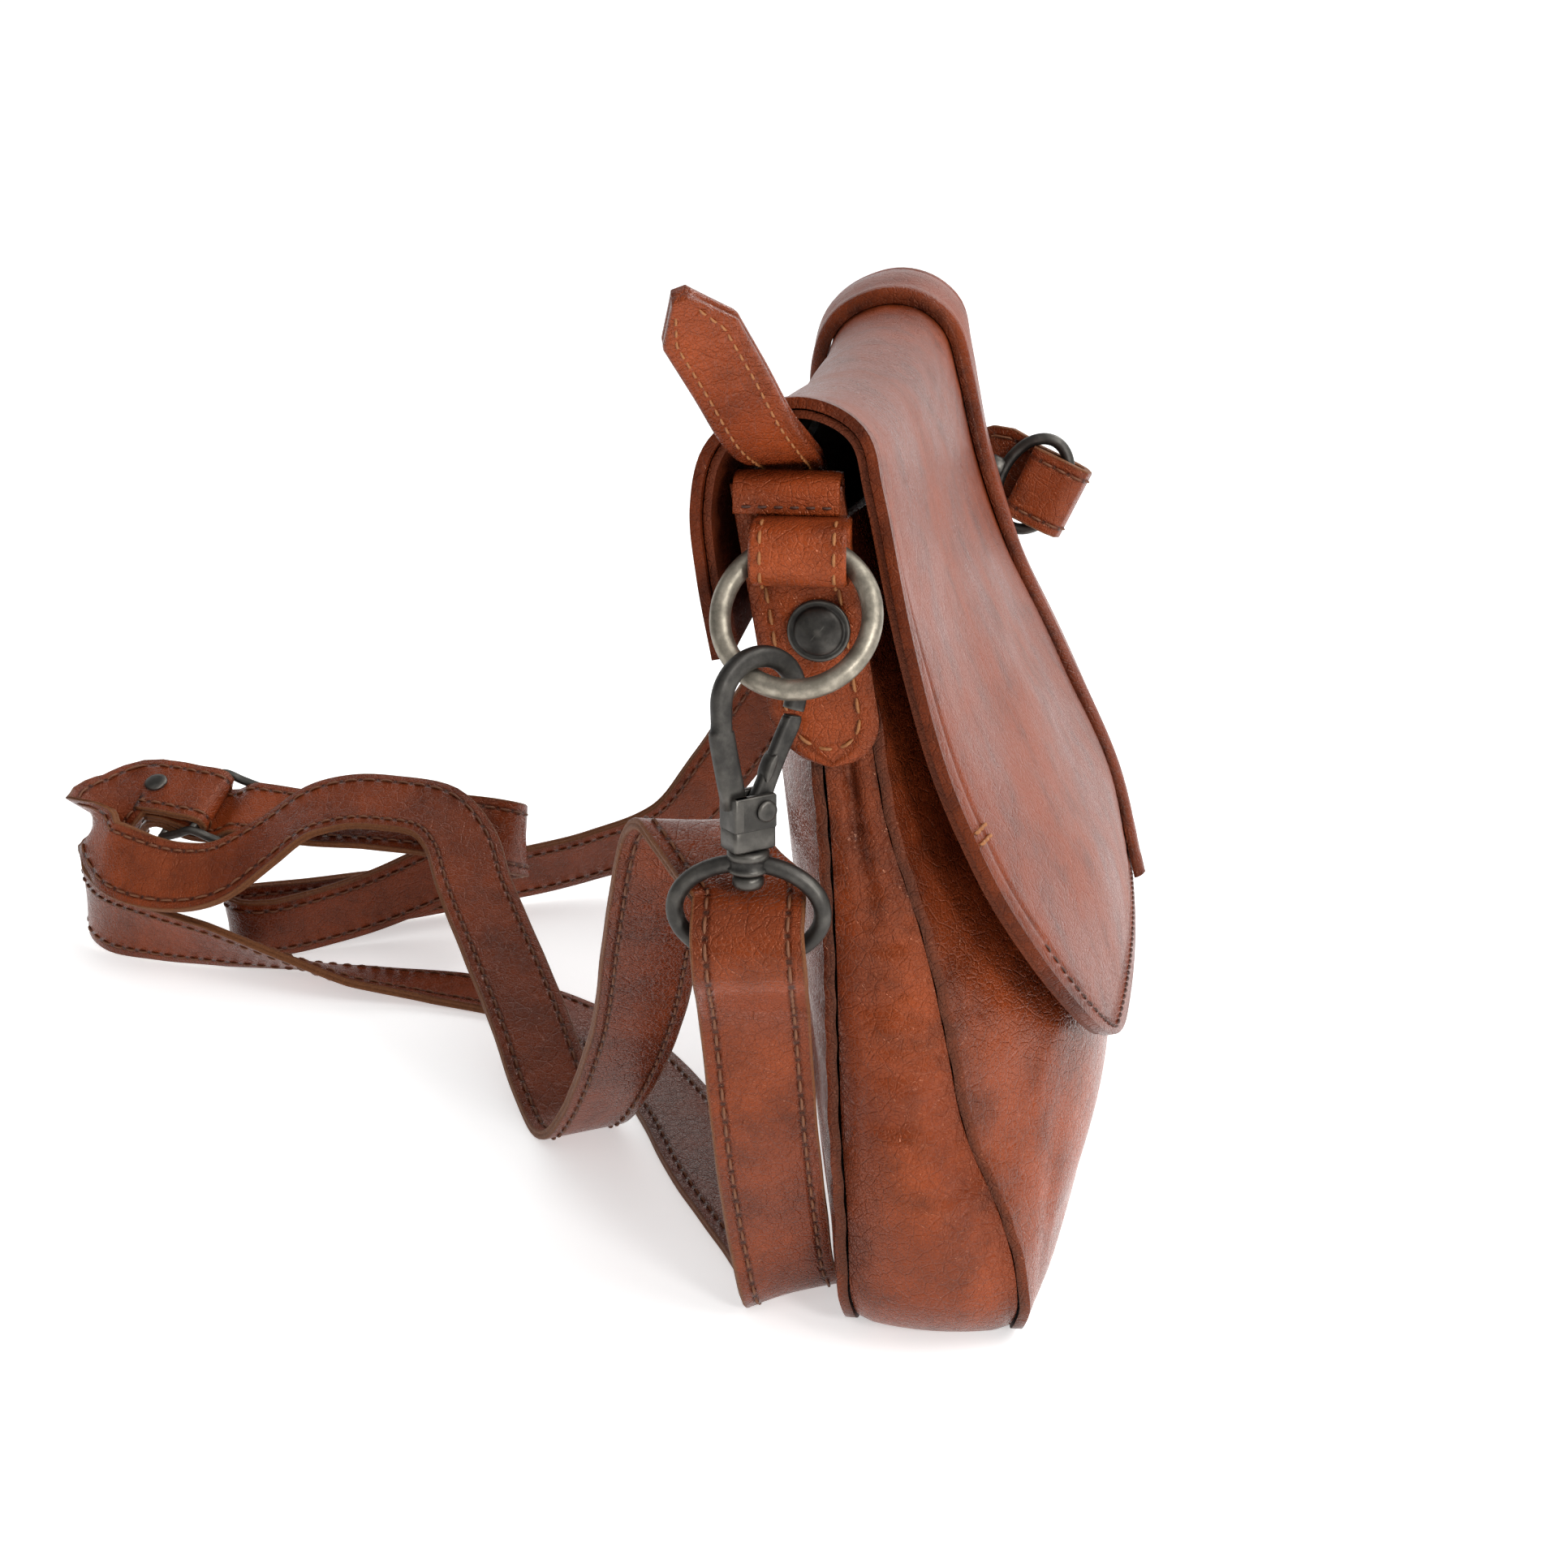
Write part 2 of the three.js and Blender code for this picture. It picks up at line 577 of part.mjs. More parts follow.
const swing = radians(CLASP_SWING);
const hang = ringUp(-1).clone().multiplyScalar(-Math.cos(swing)).addScaledVector(vec(0, 1, 0), Math.sin(swing));
const wirePoint = vec(-ringCentre.x, ringCentre.y, ringCentre.z).addScaledVector(hang, RING_RADIUS);
const turn = radians(CLASP_TURN);
const claspU = vec(-Math.sin(turn), -Math.cos(turn), 0);
const claspV = vec(0, 0, 1).cross(claspU);
const claspCentre = wirePoint.clone()
  .add(vec(0, 0, -(HOOK_RADIUS - HOOK_WIRE - RING_WIRE - 2.5 * CLEARANCE)));
const inClasp = (u, v, z) => claspCentre.clone()
  .addScaledVector(claspU, u).addScaledVector(claspV, v).add(vec(0, 0, z));

// Flat bar along points (u, z) of the clasp's plane, with a half width at each, rounded to eight sides
function claspBar(points, thickness) {
  return loftBody(points.map(([u, z, half], i) => {
    const before = points[Math.max(i - 1, 0)];
    const after = points[Math.min(i + 1, points.length - 1)];
    const along = new THREE.Vector2(after[0] - before[0], after[1] - before[1]).normalize();
    return Array.from({ length: 8 }, (_, j) => {
      const angle = (2 * Math.PI * (j + 0.5)) / 8;
      const w = half * Math.cos(angle) / Math.cos(Math.PI / 8);
      const v = (thickness / 2) * Math.sin(angle) / Math.cos(Math.PI / 8);
      return inClasp(u - along.y * w, v, z + along.x * w);
    });
  }));
}

function claspBlock(uMin, uMax, vHalf, zMin, zMax) {
  const corners = [[uMin, -vHalf], [uMax, -vHalf], [uMax, vHalf], [uMin, vHalf]];
  return loftBody([zMin, zMax].map((z) => corners.map(([u, v]) => inClasp(u, v, z))));
}

// Turned piece on the clasp's own axis, from radius and height pairs
function claspTurned(u, profile) {
  const loops = profile.map(([radius, z]) => Array.from({ length: 16 }, (_, i) => {
    const angle = (2 * Math.PI * i) / 16;
    return inClasp(u + radius * Math.cos(angle), radius * Math.sin(angle), z);
  }));
  return loftBody(loops);
}

const stemU = -2.5;
const pivotU = -0.4;
const pivotZ = -CLASP_LENGTH + 7.5;
const blockTop = -CLASP_LENGTH + 10.5;
const noseAngle = -22;
const collarTop = -CLASP_LENGTH - CLEARANCE;
const collarBottom = collarTop - COLLAR_HEIGHT;

// Rod through the clasp along V, for the pin and its hole
function claspRod(radius, half) {
  const loops = [-half, half].map((v) => Array.from({ length: 12 }, (_, i) => {
    const angle = (2 * Math.PI * i) / 12;
    return inClasp(pivotU + radius * Math.cos(angle), v, pivotZ + radius * Math.sin(angle));
  }));
  return loftBody(loops);
}

function makeClaspHook() {
  const arc = [];
  for (let i = 0; i <= 12; i += 1) {
    const angle = radians(lerp(noseAngle, 180, i / 12));
    arc.push([HOOK_RADIUS * Math.cos(angle), HOOK_RADIUS * Math.sin(angle), HOOK_WIRE]);
  }
  arc.push([-HOOK_RADIUS, -5, HOOK_WIRE]);
  arc.push([-HOOK_RADIUS + 0.3, -8, HOOK_WIRE * 1.25]);
  arc.push([-HOOK_RADIUS + 2.6, blockTop - 2, HOOK_WIRE * 1.25]);
  const blockHalf = BLOCK_THICKNESS / 2;
  const block = claspBlock(stemU - BLOCK_WIDTH / 2, stemU + BLOCK_WIDTH / 2, blockHalf, -CLASP_LENGTH, blockTop);
  const slot = claspBlock(pivotU - 3.4, stemU + BLOCK_WIDTH, GATE_THICKNESS / 2 + CLEARANCE,
    pivotZ - 3.2, blockTop + 1);
  const stemEnd = collarBottom - CLEARANCE;
  const stem = claspTurned(stemU, [[STEM_RADIUS, -CLASP_LENGTH + 1], [STEM_RADIUS, stemEnd - 1]]);
  const knob = claspTurned(stemU, [[STEM_RADIUS, stemEnd], [KNOB_RADIUS, stemEnd - 0.8],
    [KNOB_RADIUS, stemEnd - 2], [STEM_RADIUS, stemEnd - 3]]);
  const solid = toManifold(claspBar(arc, HOOK_THICKNESS)).add(toManifold(block)).subtract(toManifold(slot))
    .subtract(toManifold(claspRod(PIN_RADIUS + CLEARANCE, blockHalf + 1)))
    .add(toManifold(stem)).add(toManifold(knob));
  addPiece("clasp_hook", fromManifold(solid), claspMetal);
}

function makeClaspGate() {
  const tip = radians(noseAngle - 3);
  const reach = HOOK_RADIUS;
  const tipU = reach * Math.cos(tip);
  const tipZ = reach * Math.sin(tip) - CLEARANCE;
  const half = GATE_WIDTH / 2;
  const points = [
    [pivotU - 0.6, pivotZ - 1.6, half * 0.7],
    [pivotU, pivotZ, half * 1.25],
    [pivotU + 1.4, pivotZ + 3.5, half * 1.1],
    [lerp(pivotU, tipU, 0.6), lerp(pivotZ, tipZ, 0.6), half],
    [tipU - 0.2, tipZ - 1.2, half],
    [tipU, tipZ - 0.4, half * 0.8],
  ];
  const solid = toManifold(claspBar(points, GATE_THICKNESS))
    .subtract(toManifold(claspRod(PIN_RADIUS + CLEARANCE, GATE_THICKNESS)));
  addPiece("clasp_gate", fromManifold(solid), claspMetal);
}

function makeClaspPin() {
  const half = BLOCK_THICKNESS / 2;
  const headRadius = PIN_RADIUS * 1.7;
  const rod = toManifold(claspRod(PIN_RADIUS, half + CLEARANCE + 0.4));
  const heads = [-1, 1].map((end) => {
    const loops = [half + CLEARANCE, half + CLEARANCE + 0.5].map((v) => Array.from({ length: 12 }, (_, i) => {
      const angle = (2 * Math.PI * i) / 12;
      return inClasp(pivotU + headRadius * Math.cos(angle), end * v, pivotZ + headRadius * Math.sin(angle));
    }));
    return toManifold(loftBody(loops));
  });
  addPiece("clasp_pin", fromManifold(rod.add(heads[0]).add(heads[1])), claspMetal);
}

// Swivel eye: a collar on the stem with the oval eye that the strap runs through
const eyeCentreZ = collarBottom + EYE_WIRE - EYE_HEIGHT / 2;
const eyeAcross = vec(0, -1, 0);
const eyeNormal = vec(1, 0, 0);
const eyeCentre = inClasp(stemU, 0, eyeCentreZ);

function makeClaspEye() {
  const points = ovalPoints(eyeCentre, eyeAcross, vec(0, 0, 1), EYE_WIDTH / 2, EYE_HEIGHT / 2, 28);
  const wire = toManifold(closedWire(points, EYE_WIRE, 8, eyeNormal));
  const collar = toManifold(claspTurned(stemU, [[COLLAR_RADIUS * 0.85, collarTop], [COLLAR_RADIUS, collarTop - 0.8],
    [COLLAR_RADIUS, collarBottom + 0.8], [COLLAR_RADIUS * 0.85, collarBottom]]));
  const bore = toManifold(claspTurned(stemU, [[STEM_RADIUS + CLEARANCE, collarTop + 1],
    [STEM_RADIUS + CLEARANCE, collarBottom - 3 * EYE_WIRE]]));
  addPiece("clasp_eye", fromManifold(wire.add(collar).subtract(bore)), claspMetal);
}

makeClaspHook();
makeClaspGate();
makeClaspPin();
makeClaspEye();

// Far clasp: one plain piece, an eye round the far ring, a shank and the strap's eye, laid forwards
const FAR_EYE = 6.5;
const FAR_SHANK = 12;
const farRingSwing = radians(45);
const farHang = ringUp(1).multiplyScalar(-Math.cos(farRingSwing)).addScaledVector(vec(0, -1, 0), Math.sin(farRingSwing));
const farWire = vec(ringCentre.x, ringCentre.y, ringCentre.z).addScaledVector(farHang, RING_RADIUS);
const farAlong = vec(-0.02, -0.9, -0.42).normalize();
const farAcross = vec(0, -farAlong.z, farAlong.y).normalize().negate();
const farFacing = farAlong.clone().cross(farAcross).normalize();
const farEyeCentre = farWire.clone().addScaledVector(farAlong, FAR_EYE - HOOK_WIRE - RING_WIRE - 3 * CLEARANCE);
const farLoopCentre = farEyeCentre.clone()
  .addScaledVector(farAlong, FAR_EYE + FAR_SHANK + EYE_HEIGHT / 2);

function makeFarClasp() {
  const wireAlong = ringUp(1).multiplyScalar(Math.sin(farRingSwing)).addScaledVector(vec(0, -1, 0), Math.cos(farRingSwing));
  const eyeSide = farAlong.clone().cross(wireAlong).normalize();
  const eye = toManifold(closedWire(
    ovalPoints(farEyeCentre, farAlong, eyeSide, FAR_EYE, FAR_EYE, 20), HOOK_WIRE, 8,
    farAlong.clone().cross(eyeSide)));
  const shankRadius = 1.5 * HOOK_WIRE;
  const shank = toManifold(loftBody([FAR_EYE, FAR_EYE + FAR_SHANK].map((along) =>
    Array.from({ length: 10 }, (_, i) => {
      const angle = (2 * Math.PI * i) / 10;
      return farEyeCentre.clone().addScaledVector(farAlong, along)
        .addScaledVector(farAcross, shankRadius * Math.cos(angle))
        .addScaledVector(farFacing, shankRadius * Math.sin(angle));
    }))));
  const loop = toManifold(closedWire(
    ovalPoints(farLoopCentre, farAcross, farAlong, EYE_WIDTH / 2, EYE_HEIGHT / 2, 24), EYE_WIRE, 8, farFacing));
  addPiece("far_clasp", fromManifold(eye.add(shank).add(loop)), claspMetal);
}
makeFarClasp();

// Strap slider: two side rails arched over three cross bars; the strap's end is sewn round the middle bar.
// Its own frame has +S along the strap, +W across it and +N out of its face.
const sliderCentre = vec(88, 230, 47);
const sliderAlong = vec(0.1, 0.99, 0.03).normalize();
const sliderAcross = vec(0.9, -0.1, 0.43).addScaledVector(sliderAlong,
  -vec(0.9, -0.1, 0.43).dot(sliderAlong)).normalize();
const sliderFacing = sliderAcross.clone().cross(sliderAlong).normalize();
const atSlider = (along, out, across = 0) => sliderCentre.clone().addScaledVector(sliderAlong, along)
  .addScaledVector(sliderFacing, out).addScaledVector(sliderAcross, across);
const sliderHalf = SLIDER_LENGTH / 2 - SLIDER_WIRE;
const sliderReach = STRAP_WIDTH / 2 + SLIDER_WIRE + 2 * CLEARANCE;

function straightWire(from, to, radius, sides) {
  const along = to.clone().sub(from).normalize();
  const out = along.clone().cross(sliderFacing.clone().addScaledVector(sliderAlong, 0.31)).normalize();
  const other = along.clone().cross(out);
  return loftBody([from, to].map((centre) => Array.from({ length: sides }, (_, i) => {
    const angle = (2 * Math.PI * (i + 0.5)) / sides;
    return centre.clone().addScaledVector(out, radius * Math.cos(angle))
      .addScaledVector(other, radius * Math.sin(angle));
  })));
}

function makeSlider() {
  const bars = [];
  for (const [along, out] of [[-sliderHalf, -SLIDER_ARCH], [0, 0], [sliderHalf, -SLIDER_ARCH]]) {
    bars.push(straightWire(atSlider(along, out, -sliderReach), atSlider(along, out, sliderReach), SLIDER_WIRE, 8));
  }
  for (const side of [-1, 1]) {
    for (const end of [-1, 1]) {
      bars.push(straightWire(atSlider(end * (sliderHalf + 0.4), -SLIDER_ARCH - 0.1, side * sliderReach),
        atSlider(-end * 0.6, 0.1, side * sliderReach), SLIDER_WIRE * 1.06, 8));
    }
  }
  const solid = bars.map(toManifold).reduce((sum, bar) => sum.add(bar));
  addPiece("strap_slider", fromManifold(solid), claspMetal);
}
makeSlider();

// Strap: one flat band whose route is a list of points, each with the direction of one of its edges
const layer = STRAP_WALL + CLEARANCE;
const halfWall = STRAP_WALL / 2;
const wrapRadius = (wire) => wire + CLEARANCE + halfWall;
const place = (point, edge) => ({ point, edge });
const row = (x, y, z, ex, ey, ez) => place(vec(x, y, z), vec(ex, ey, ez));

// Sewn end round the slider's middle bar, out along the strap's own face
function sliderEndRows() {
  const radius = wrapRadius(SLIDER_WIRE);
  const tailOut = -SLIDER_ARCH / 2 + 0.6 + layer;
  const edge = sliderAcross.clone().negate();
  const rows = [[16, tailOut], [sliderHalf, tailOut - 0.1], [5, -1.2]]
    .map(([along, out]) => place(atSlider(along, out), edge));
  for (let i = 0; i <= 4; i += 1) {
    const angle = (Math.PI * i) / 4;
    rows.push(place(atSlider(-radius * Math.sin(angle), -radius * Math.cos(angle)), edge));
  }
  for (const [along, out] of [[6, 3.3], [sliderHalf, tailOut + layer], [16, tailOut + layer + 0.1], [20, tailOut + layer]]) {
    rows.push(place(atSlider(along, out), edge));
  }
  return rows;
}

// Sliding layer through the slider: in over one outer bar, under the sewn end and out over the other
function sliderPassRows() {
  const under = -(SLIDER_WIRE + CLEARANCE + STRAP_WALL + CLEARANCE + halfWall);
  const inside = -SLIDER_ARCH + SLIDER_WIRE + CLEARANCE + halfWall + 0.1;
  return [[15, inside], [sliderHalf, inside], [5, under * 0.9], [0, under], [-5, under * 0.9],
    [-sliderHalf, inside], [-15, inside]].map(([along, out]) => place(atSlider(along, out), sliderAcross));
}

const eyeRow = (dx, dy, dz, ex, ey, ez) =>
  row(eyeCentre.x + dx, eyeCentre.y + dy, eyeCentre.z + dz, ex, ey, ez);

// Sewn end round the far bar of the far clasp's eye
const farBar = farLoopCentre.clone().addScaledVector(farAlong, EYE_HEIGHT / 2);
const FAR_TAIL = 20;

function farEndRows() {
  const radius = wrapRadius(EYE_WIRE);
  const at = (along, out) => place(farBar.clone().addScaledVector(farAlong, along)
    .addScaledVector(farFacing, out), farAcross);
  const rows = [at(-FAR_TAIL * 0.7, radius), at(-5, radius)];
  for (let i = 0; i <= 4; i += 1) {
    const angle = (Math.PI * i) / 4;
    rows.push(at(radius * Math.sin(angle), radius * Math.cos(angle)));
  }
  const overShank = 1.5 * HOOK_WIRE + 2 * CLEARANCE + halfWall;
  rows.push(at(-5, -radius), at(-13, -radius - 0.5), at(-EYE_HEIGHT - 3, -overShank - 1));
  return rows;
}

const strapRoute = [
  ...sliderEndRows(),
  row(84, 255, 49, -0.85, 0, -0.5),
  row(77, 260, 45, -0.65, -0.1, -0.75),
  row(69, 255, 37.5, -0.35, -0.25, -0.9),
  row(64.5, 245, 34, -0.45, -0.3, -0.85),
  row(63, 232, 32, -0.6, -0.3, -0.7),
  row(64, 220, 33.5, -0.75, -0.2, -0.6),
  row(69, 207, 41, -0.85, 0, -0.5),
  row(75.5, 195, 49, -0.9, 0, -0.43),
  row(80, 184, 51.5, -0.9, 0, -0.43),
  row(82, 172, 51, -0.9, 0, -0.43),
  row(80, 158, 49.5, -0.85, 0.3, -0.4),
  row(73, 149, 44, -0.7, 0.65, -0.2),
  row(58, 141, 36, -0.52, 0.84, -0.05),
  row(38, 129, 26, -0.52, 0.85, 0),
  row(16, 116, 15.5, -0.52, 0.85, 0),
  row(-4, 105, 5.5, -0.54, 0.84, 0),
  row(-13, 99.5, 1.7, -0.54, 0.84, 0),
  row(-19, 96, 1.5, -0.54, 0.84, 0),
  row(-24.5, 92, 4, -0.54, 0.84, 0),
  row(-36, 84, 17, -0.5, 0.86, 0),
  row(-60, 71, 48, -0.45, 0.88, 0.05),
  row(-84, 62, 80, -0.4, 0.9, 0.1),
  row(-99, 56, 102, -0.35, 0.93, 0.1),
  row(-104, 53, 110, -0.3, 0.95, 0.1),
  row(-110, 49, 114, -0.25, 0.96, 0.05),
  eyeRow(9.5, 4.5, 4.2, -0.12, 0.98, 0),
  eyeRow(4, 0.6, 2.6, -0.05, 1, 0),
  eyeRow(0, 0, 0.6, 0, 1, 0),
  eyeRow(-4.4, -0.3, -3.6, 0, 1, 0),
  eyeRow(-5.4, -1, -11, -0.05, 1, 0),
  row(-127, 34, 82, -0.15, 0.98, 0),
  row(-119, 33, 52, -0.25, 0.96, 0),
  row(-107, 32, 24, -0.4, 0.9, 0),
  row(-99, 31, 7.5, -0.52, 0.85, 0),
  row(-94, 30.5, 3.6, -0.55, 0.83, 0),
  row(-87, 32, 1.8, -0.56, 0.82, 0),
  row(-73, 38.5, 1.5, -0.56, 0.82, 0),
  row(-40, 56.5, 1.5, -0.55, 0.83, 0),
  row(0, 75, 1.5, -0.5, 0.86, 0),
  row(34, 99, 1.5, -0.65, 0.75, 0),
  row(55, 126, 1.6, -0.85, 0.5, 0),
  row(62, 152, 2, -1, 0.1, 0.04),
  row(63, 178, 3.9, -0.97, 0, 0.2),
  row(64, 200, 7.3, -0.85, 0, 0.52),
  row(67, 222, 9.8, -0.6, 0, 0.8),
  row(72, 244, 10.9, -0.35, 0, 0.93),
  row(79, 262, 11.8, -0.1, 0, 1),
  row(88, 270, 14.5, 0.05, 0, 1),
  row(98.5, 269, 21, 0.35, 0, 0.93),
  row(101.5, 259, 31, 0.75, -0.1, 0.65),
  ...sliderPassRows(),
  row(87.2, 200, 43.6, 0.9, 0, 0.43),
  row(86.5, 180, 43.6, 0.88, 0, 0.45),
  row(87.5, 162, 43, 0.8, 0, 0.6),
  row(90, 149, 40.5, 0.6, 0, 0.8),
  row(96, 140, 37, 0.3, 0, 0.95),
  row(104, 138.5, 33, 0.1, 0, 1),
  row(110, 146, 29, -0.05, 0, 1),
  row(106, 160, 23.5, -0.2, 0, 0.97),
  row(94, 185, 14.5, -0.3, 0, 0.95),
  row(80, 208, 11, -0.4, 0, 0.92),
  row(77, 217, 11, -0.3, 0, 0.95),
  row(82, 223, 11.1, -0.2, 0, 0.98),
  row(89, 219, 11, -0.3, 0, 0.95),
  row(98, 206, 10.8, -0.4, 0, 0.92),
  row(112, 182, 10.8, -0.45, 0, 0.9),
  row(127, 155, 12, -0.5, 0, 0.87),
  row(141, 126, 16, -0.5, 0, 0.87),
  row(149, 101, 25, -0.45, 0.2, 0.85),
  row(150, 84, 45, -0.35, 0.55, 0.7),
  row(146, 66, 72, -0.25, 0.75, 0.6),
  row(141, 46, 99, -0.1, 0.7, 0.7),
  row(144, 31, 120, 0, 0.5, 0.85),
  row(142.5, 13, 133, 0, 0.45, 0.88),
  ...farEndRows().reverse(),
];

const strapCurve = new THREE.CatmullRomCurve3(strapRoute.map((stop) => stop.point), false, "centripetal");
const STRAP_STEP = 6;

// Cross-sections of a flat band: corners in order round the section at each step of the route
function bandSections(route, curve, width, wall, step) {
  const sections = [];
  for (let i = 0; i < route.length - 1; i += 1) {
    const steps = Math.max(1, Math.round(route[i].point.distanceTo(route[i + 1].point) / step));
    const last = i === route.length - 2 ? steps : steps - 1;
    for (let k = 0; k <= last; k += 1) {
      const share = (i + k / steps) / (route.length - 1);
      const point = curve.getPoint(share);
      const tangent = curve.getTangent(share);
      const edge = route[i].edge.clone().lerp(route[i + 1].edge, k / steps);
      edge.addScaledVector(tangent, -edge.dot(tangent)).normalize();
      sections.push({ point, edge, face: tangent.clone().cross(edge).normalize(), width, wall });
    }
  }
  return sections;
}

const sectionCorners = ({ point, edge, face, width, wall }) =>
  [[1, 1], [-1, 1], [-1, -1], [1, -1]].map(([e, f]) => point.clone()
    .addScaledVector(edge, e * width / 2).addScaledVector(face, f * wall / 2));

const strapSections = bandSections(strapRoute, strapCurve, STRAP_WIDTH, STRAP_WALL, STRAP_STEP);
addPiece("strap", loftBody(strapSections.map(sectionCorners)), leather);

// Rivet through the sewn end beside the slider
function makeRivet() {
  const profile = [[0, 0], [RIVET_RADIUS, 0], [RIVET_RADIUS * 0.9, 0.7], [RIVET_RADIUS * 0.5, 1.2], [0, 1.3]];
  const geometry = new THREE.LatheGeometry(profile.map(([r, h]) => new THREE.Vector2(r, h)), 16);
  const mesh = addPiece("slider_rivet", geometry, claspMetal);
  const tailOut = -SLIDER_ARCH / 2 + 0.6 + layer;
  mesh.quaternion.setFromUnitVectors(vec(0, 1, 0), sliderFacing);
  mesh.position.copy(atSlider(15.5, tailOut + layer + halfWall + CLEARANCE + 0.2));
}
makeRivet();

// Stitched end tab of the mouth's zip, sticking out past the flap's near edge, with a pointed tip
const zipRoute = [
  row(-98, 30.5, 183, 0, -1, 0.05),
  row(-108, 30.5, 187.2, 0, -1, 0.06),
  row(-118, 30.5, 190.0, 0, -0.98, 0.12),
  row(-126, 33, 195, -0.05, -0.93, 0.32),
  row(-136, 36.5, 205, -0.1, -0.88, 0.42),
  row(-146, 40.5, 215.5, -0.1, -0.86, 0.45),
  row(-151, 42.5, 221, -0.1, -0.86, 0.45),
];
const zipCurve = new THREE.CatmullRomCurve3(zipRoute.map((stop) => stop.point), false, "centripetal");
const zipSections = bandSections(zipRoute, zipCurve, ZIP_TAB_WIDTH, ZIP_TAB_WALL, 5);
const zipTip = zipSections.at(-1);
zipTip.width = ZIP_TAB_WIDTH * 0.2;
addPiece("zip_end_tab", loftBody(zipSections.map(sectionCorners)), leather);

export default part;
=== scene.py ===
"""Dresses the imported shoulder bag: leather, stitched strap, metal fittings and a plain studio."""
import json
import math
import bpy
import numpy as np
from bpy.props import FloatProperty, FloatVectorProperty, IntProperty, PointerProperty
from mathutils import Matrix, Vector

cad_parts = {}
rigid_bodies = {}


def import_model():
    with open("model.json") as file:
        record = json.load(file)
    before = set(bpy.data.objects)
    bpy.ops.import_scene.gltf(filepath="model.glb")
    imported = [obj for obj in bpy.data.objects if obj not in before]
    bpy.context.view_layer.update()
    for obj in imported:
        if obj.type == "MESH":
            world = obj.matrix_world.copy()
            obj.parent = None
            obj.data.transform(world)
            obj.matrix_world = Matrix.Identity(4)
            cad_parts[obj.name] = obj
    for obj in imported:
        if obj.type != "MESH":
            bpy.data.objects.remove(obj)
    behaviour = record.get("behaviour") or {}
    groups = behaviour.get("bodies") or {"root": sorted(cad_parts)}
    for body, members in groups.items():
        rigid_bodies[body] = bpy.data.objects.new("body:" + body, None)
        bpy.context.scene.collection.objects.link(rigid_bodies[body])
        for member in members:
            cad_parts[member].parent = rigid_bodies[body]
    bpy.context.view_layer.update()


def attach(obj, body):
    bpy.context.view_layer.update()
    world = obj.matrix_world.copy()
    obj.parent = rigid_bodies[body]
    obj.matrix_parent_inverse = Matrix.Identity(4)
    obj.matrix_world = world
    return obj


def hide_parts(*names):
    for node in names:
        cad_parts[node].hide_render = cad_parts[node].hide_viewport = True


bl_info = {
    "name": "Shoulder bag dressing",
    "version": (1, 0, 0),
    "blender": (4, 5, 0),
    "location": "3D View > Sidebar > Bag",
    "description": "Builds the visible leather, stitching and metal of a small shoulder bag",
    "category": "Object",
}

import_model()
BAG = "bag"
GATE = "gate"
MM = 0.001
SEED = 7

# Sizes of the bag in millimetres, as in the solid model
BAG_WIDTH = 224.0
BAG_HEIGHT = 175.0
BAG_DEPTH = 70.0
BASE_CORNER_RADIUS = 16.0
BODY_WALL = 2.2
SEAM_LIFT = 0.8
SEAM_GAP = 0.4
GUSSET_BULGE = 9.0
PANEL_ROLL = 4.0
CLEARANCE = 0.3
FLAP_WIDTH = 238.0
FLAP_HEIGHT = 196.0
FLAP_END_HEIGHT = 60.0
FLAP_BACK_HEIGHT = 150.0
FLAP_SAG = 7.0
FLAP_CORNER_RADIUS = 50.0
FLAP_WALL = 2.0
FACING_WALL = 1.5
FACING_INSET = 1.5
WAVE_WALL = 2.4
WAVE_RISE = 4.5
WAVE_ROLL = 9.0
TAB_WIDTH = 21.0
TAB_LENGTH = 54.0
TAB_TOP = 183.0
TAB_WALL = 2.2
TAB_TOP_Y = 29.5
TAB_TIP_Y = 20.5
CAP_LENGTH = 20.0
CAP_DROP = 5.0
CAP_WALL = 1.6
LOOP_WALL = 1.8
LOOP_LENGTH = 18.0
RING_RADIUS = 14.0
RING_WIRE = 2.0
RING_TILT = math.radians(32.0)
RING_OUT = 12.0
RING_BELOW_TOP = 21.7
STUD_RADIUS = 6.0
STUD_HEIGHT = 3.0
STUD_DROP = 27.0
HOOK_RADIUS = 8.0
HOOK_WIRE = 2.0
HOOK_THICKNESS = 3.2
CLASP_TURN = math.radians(-40.0)
CLASP_SWING = math.radians(25.0)
CLASP_LENGTH = 28.0
BLOCK_WIDTH = 9.0
BLOCK_THICKNESS = 6.0
GATE_THICKNESS = 2.6
GATE_WIDTH = 3.6
PIN_RADIUS = 1.2
STEM_RADIUS = 1.7
COLLAR_RADIUS = 4.0
COLLAR_HEIGHT = 4.5
KNOB_RADIUS = 3.0
EYE_WIDTH = 28.0
EYE_HEIGHT = 19.0
EYE_WIRE = 1.7
STRAP_WIDTH = 21.5
STRAP_WALL = 2.5
SLIDER_LENGTH = 24.0
SLIDER_WIRE = 1.2
SLIDER_ARCH = 4.4
RIVET_RADIUS = 3.4
ZIP_TAB_WIDTH = 14.0
ZIP_TAB_WALL = 3.4

# Share of the raised panel's rise that is shown, so that its seam stays a thin line
WAVE_SHOWN = 0.45

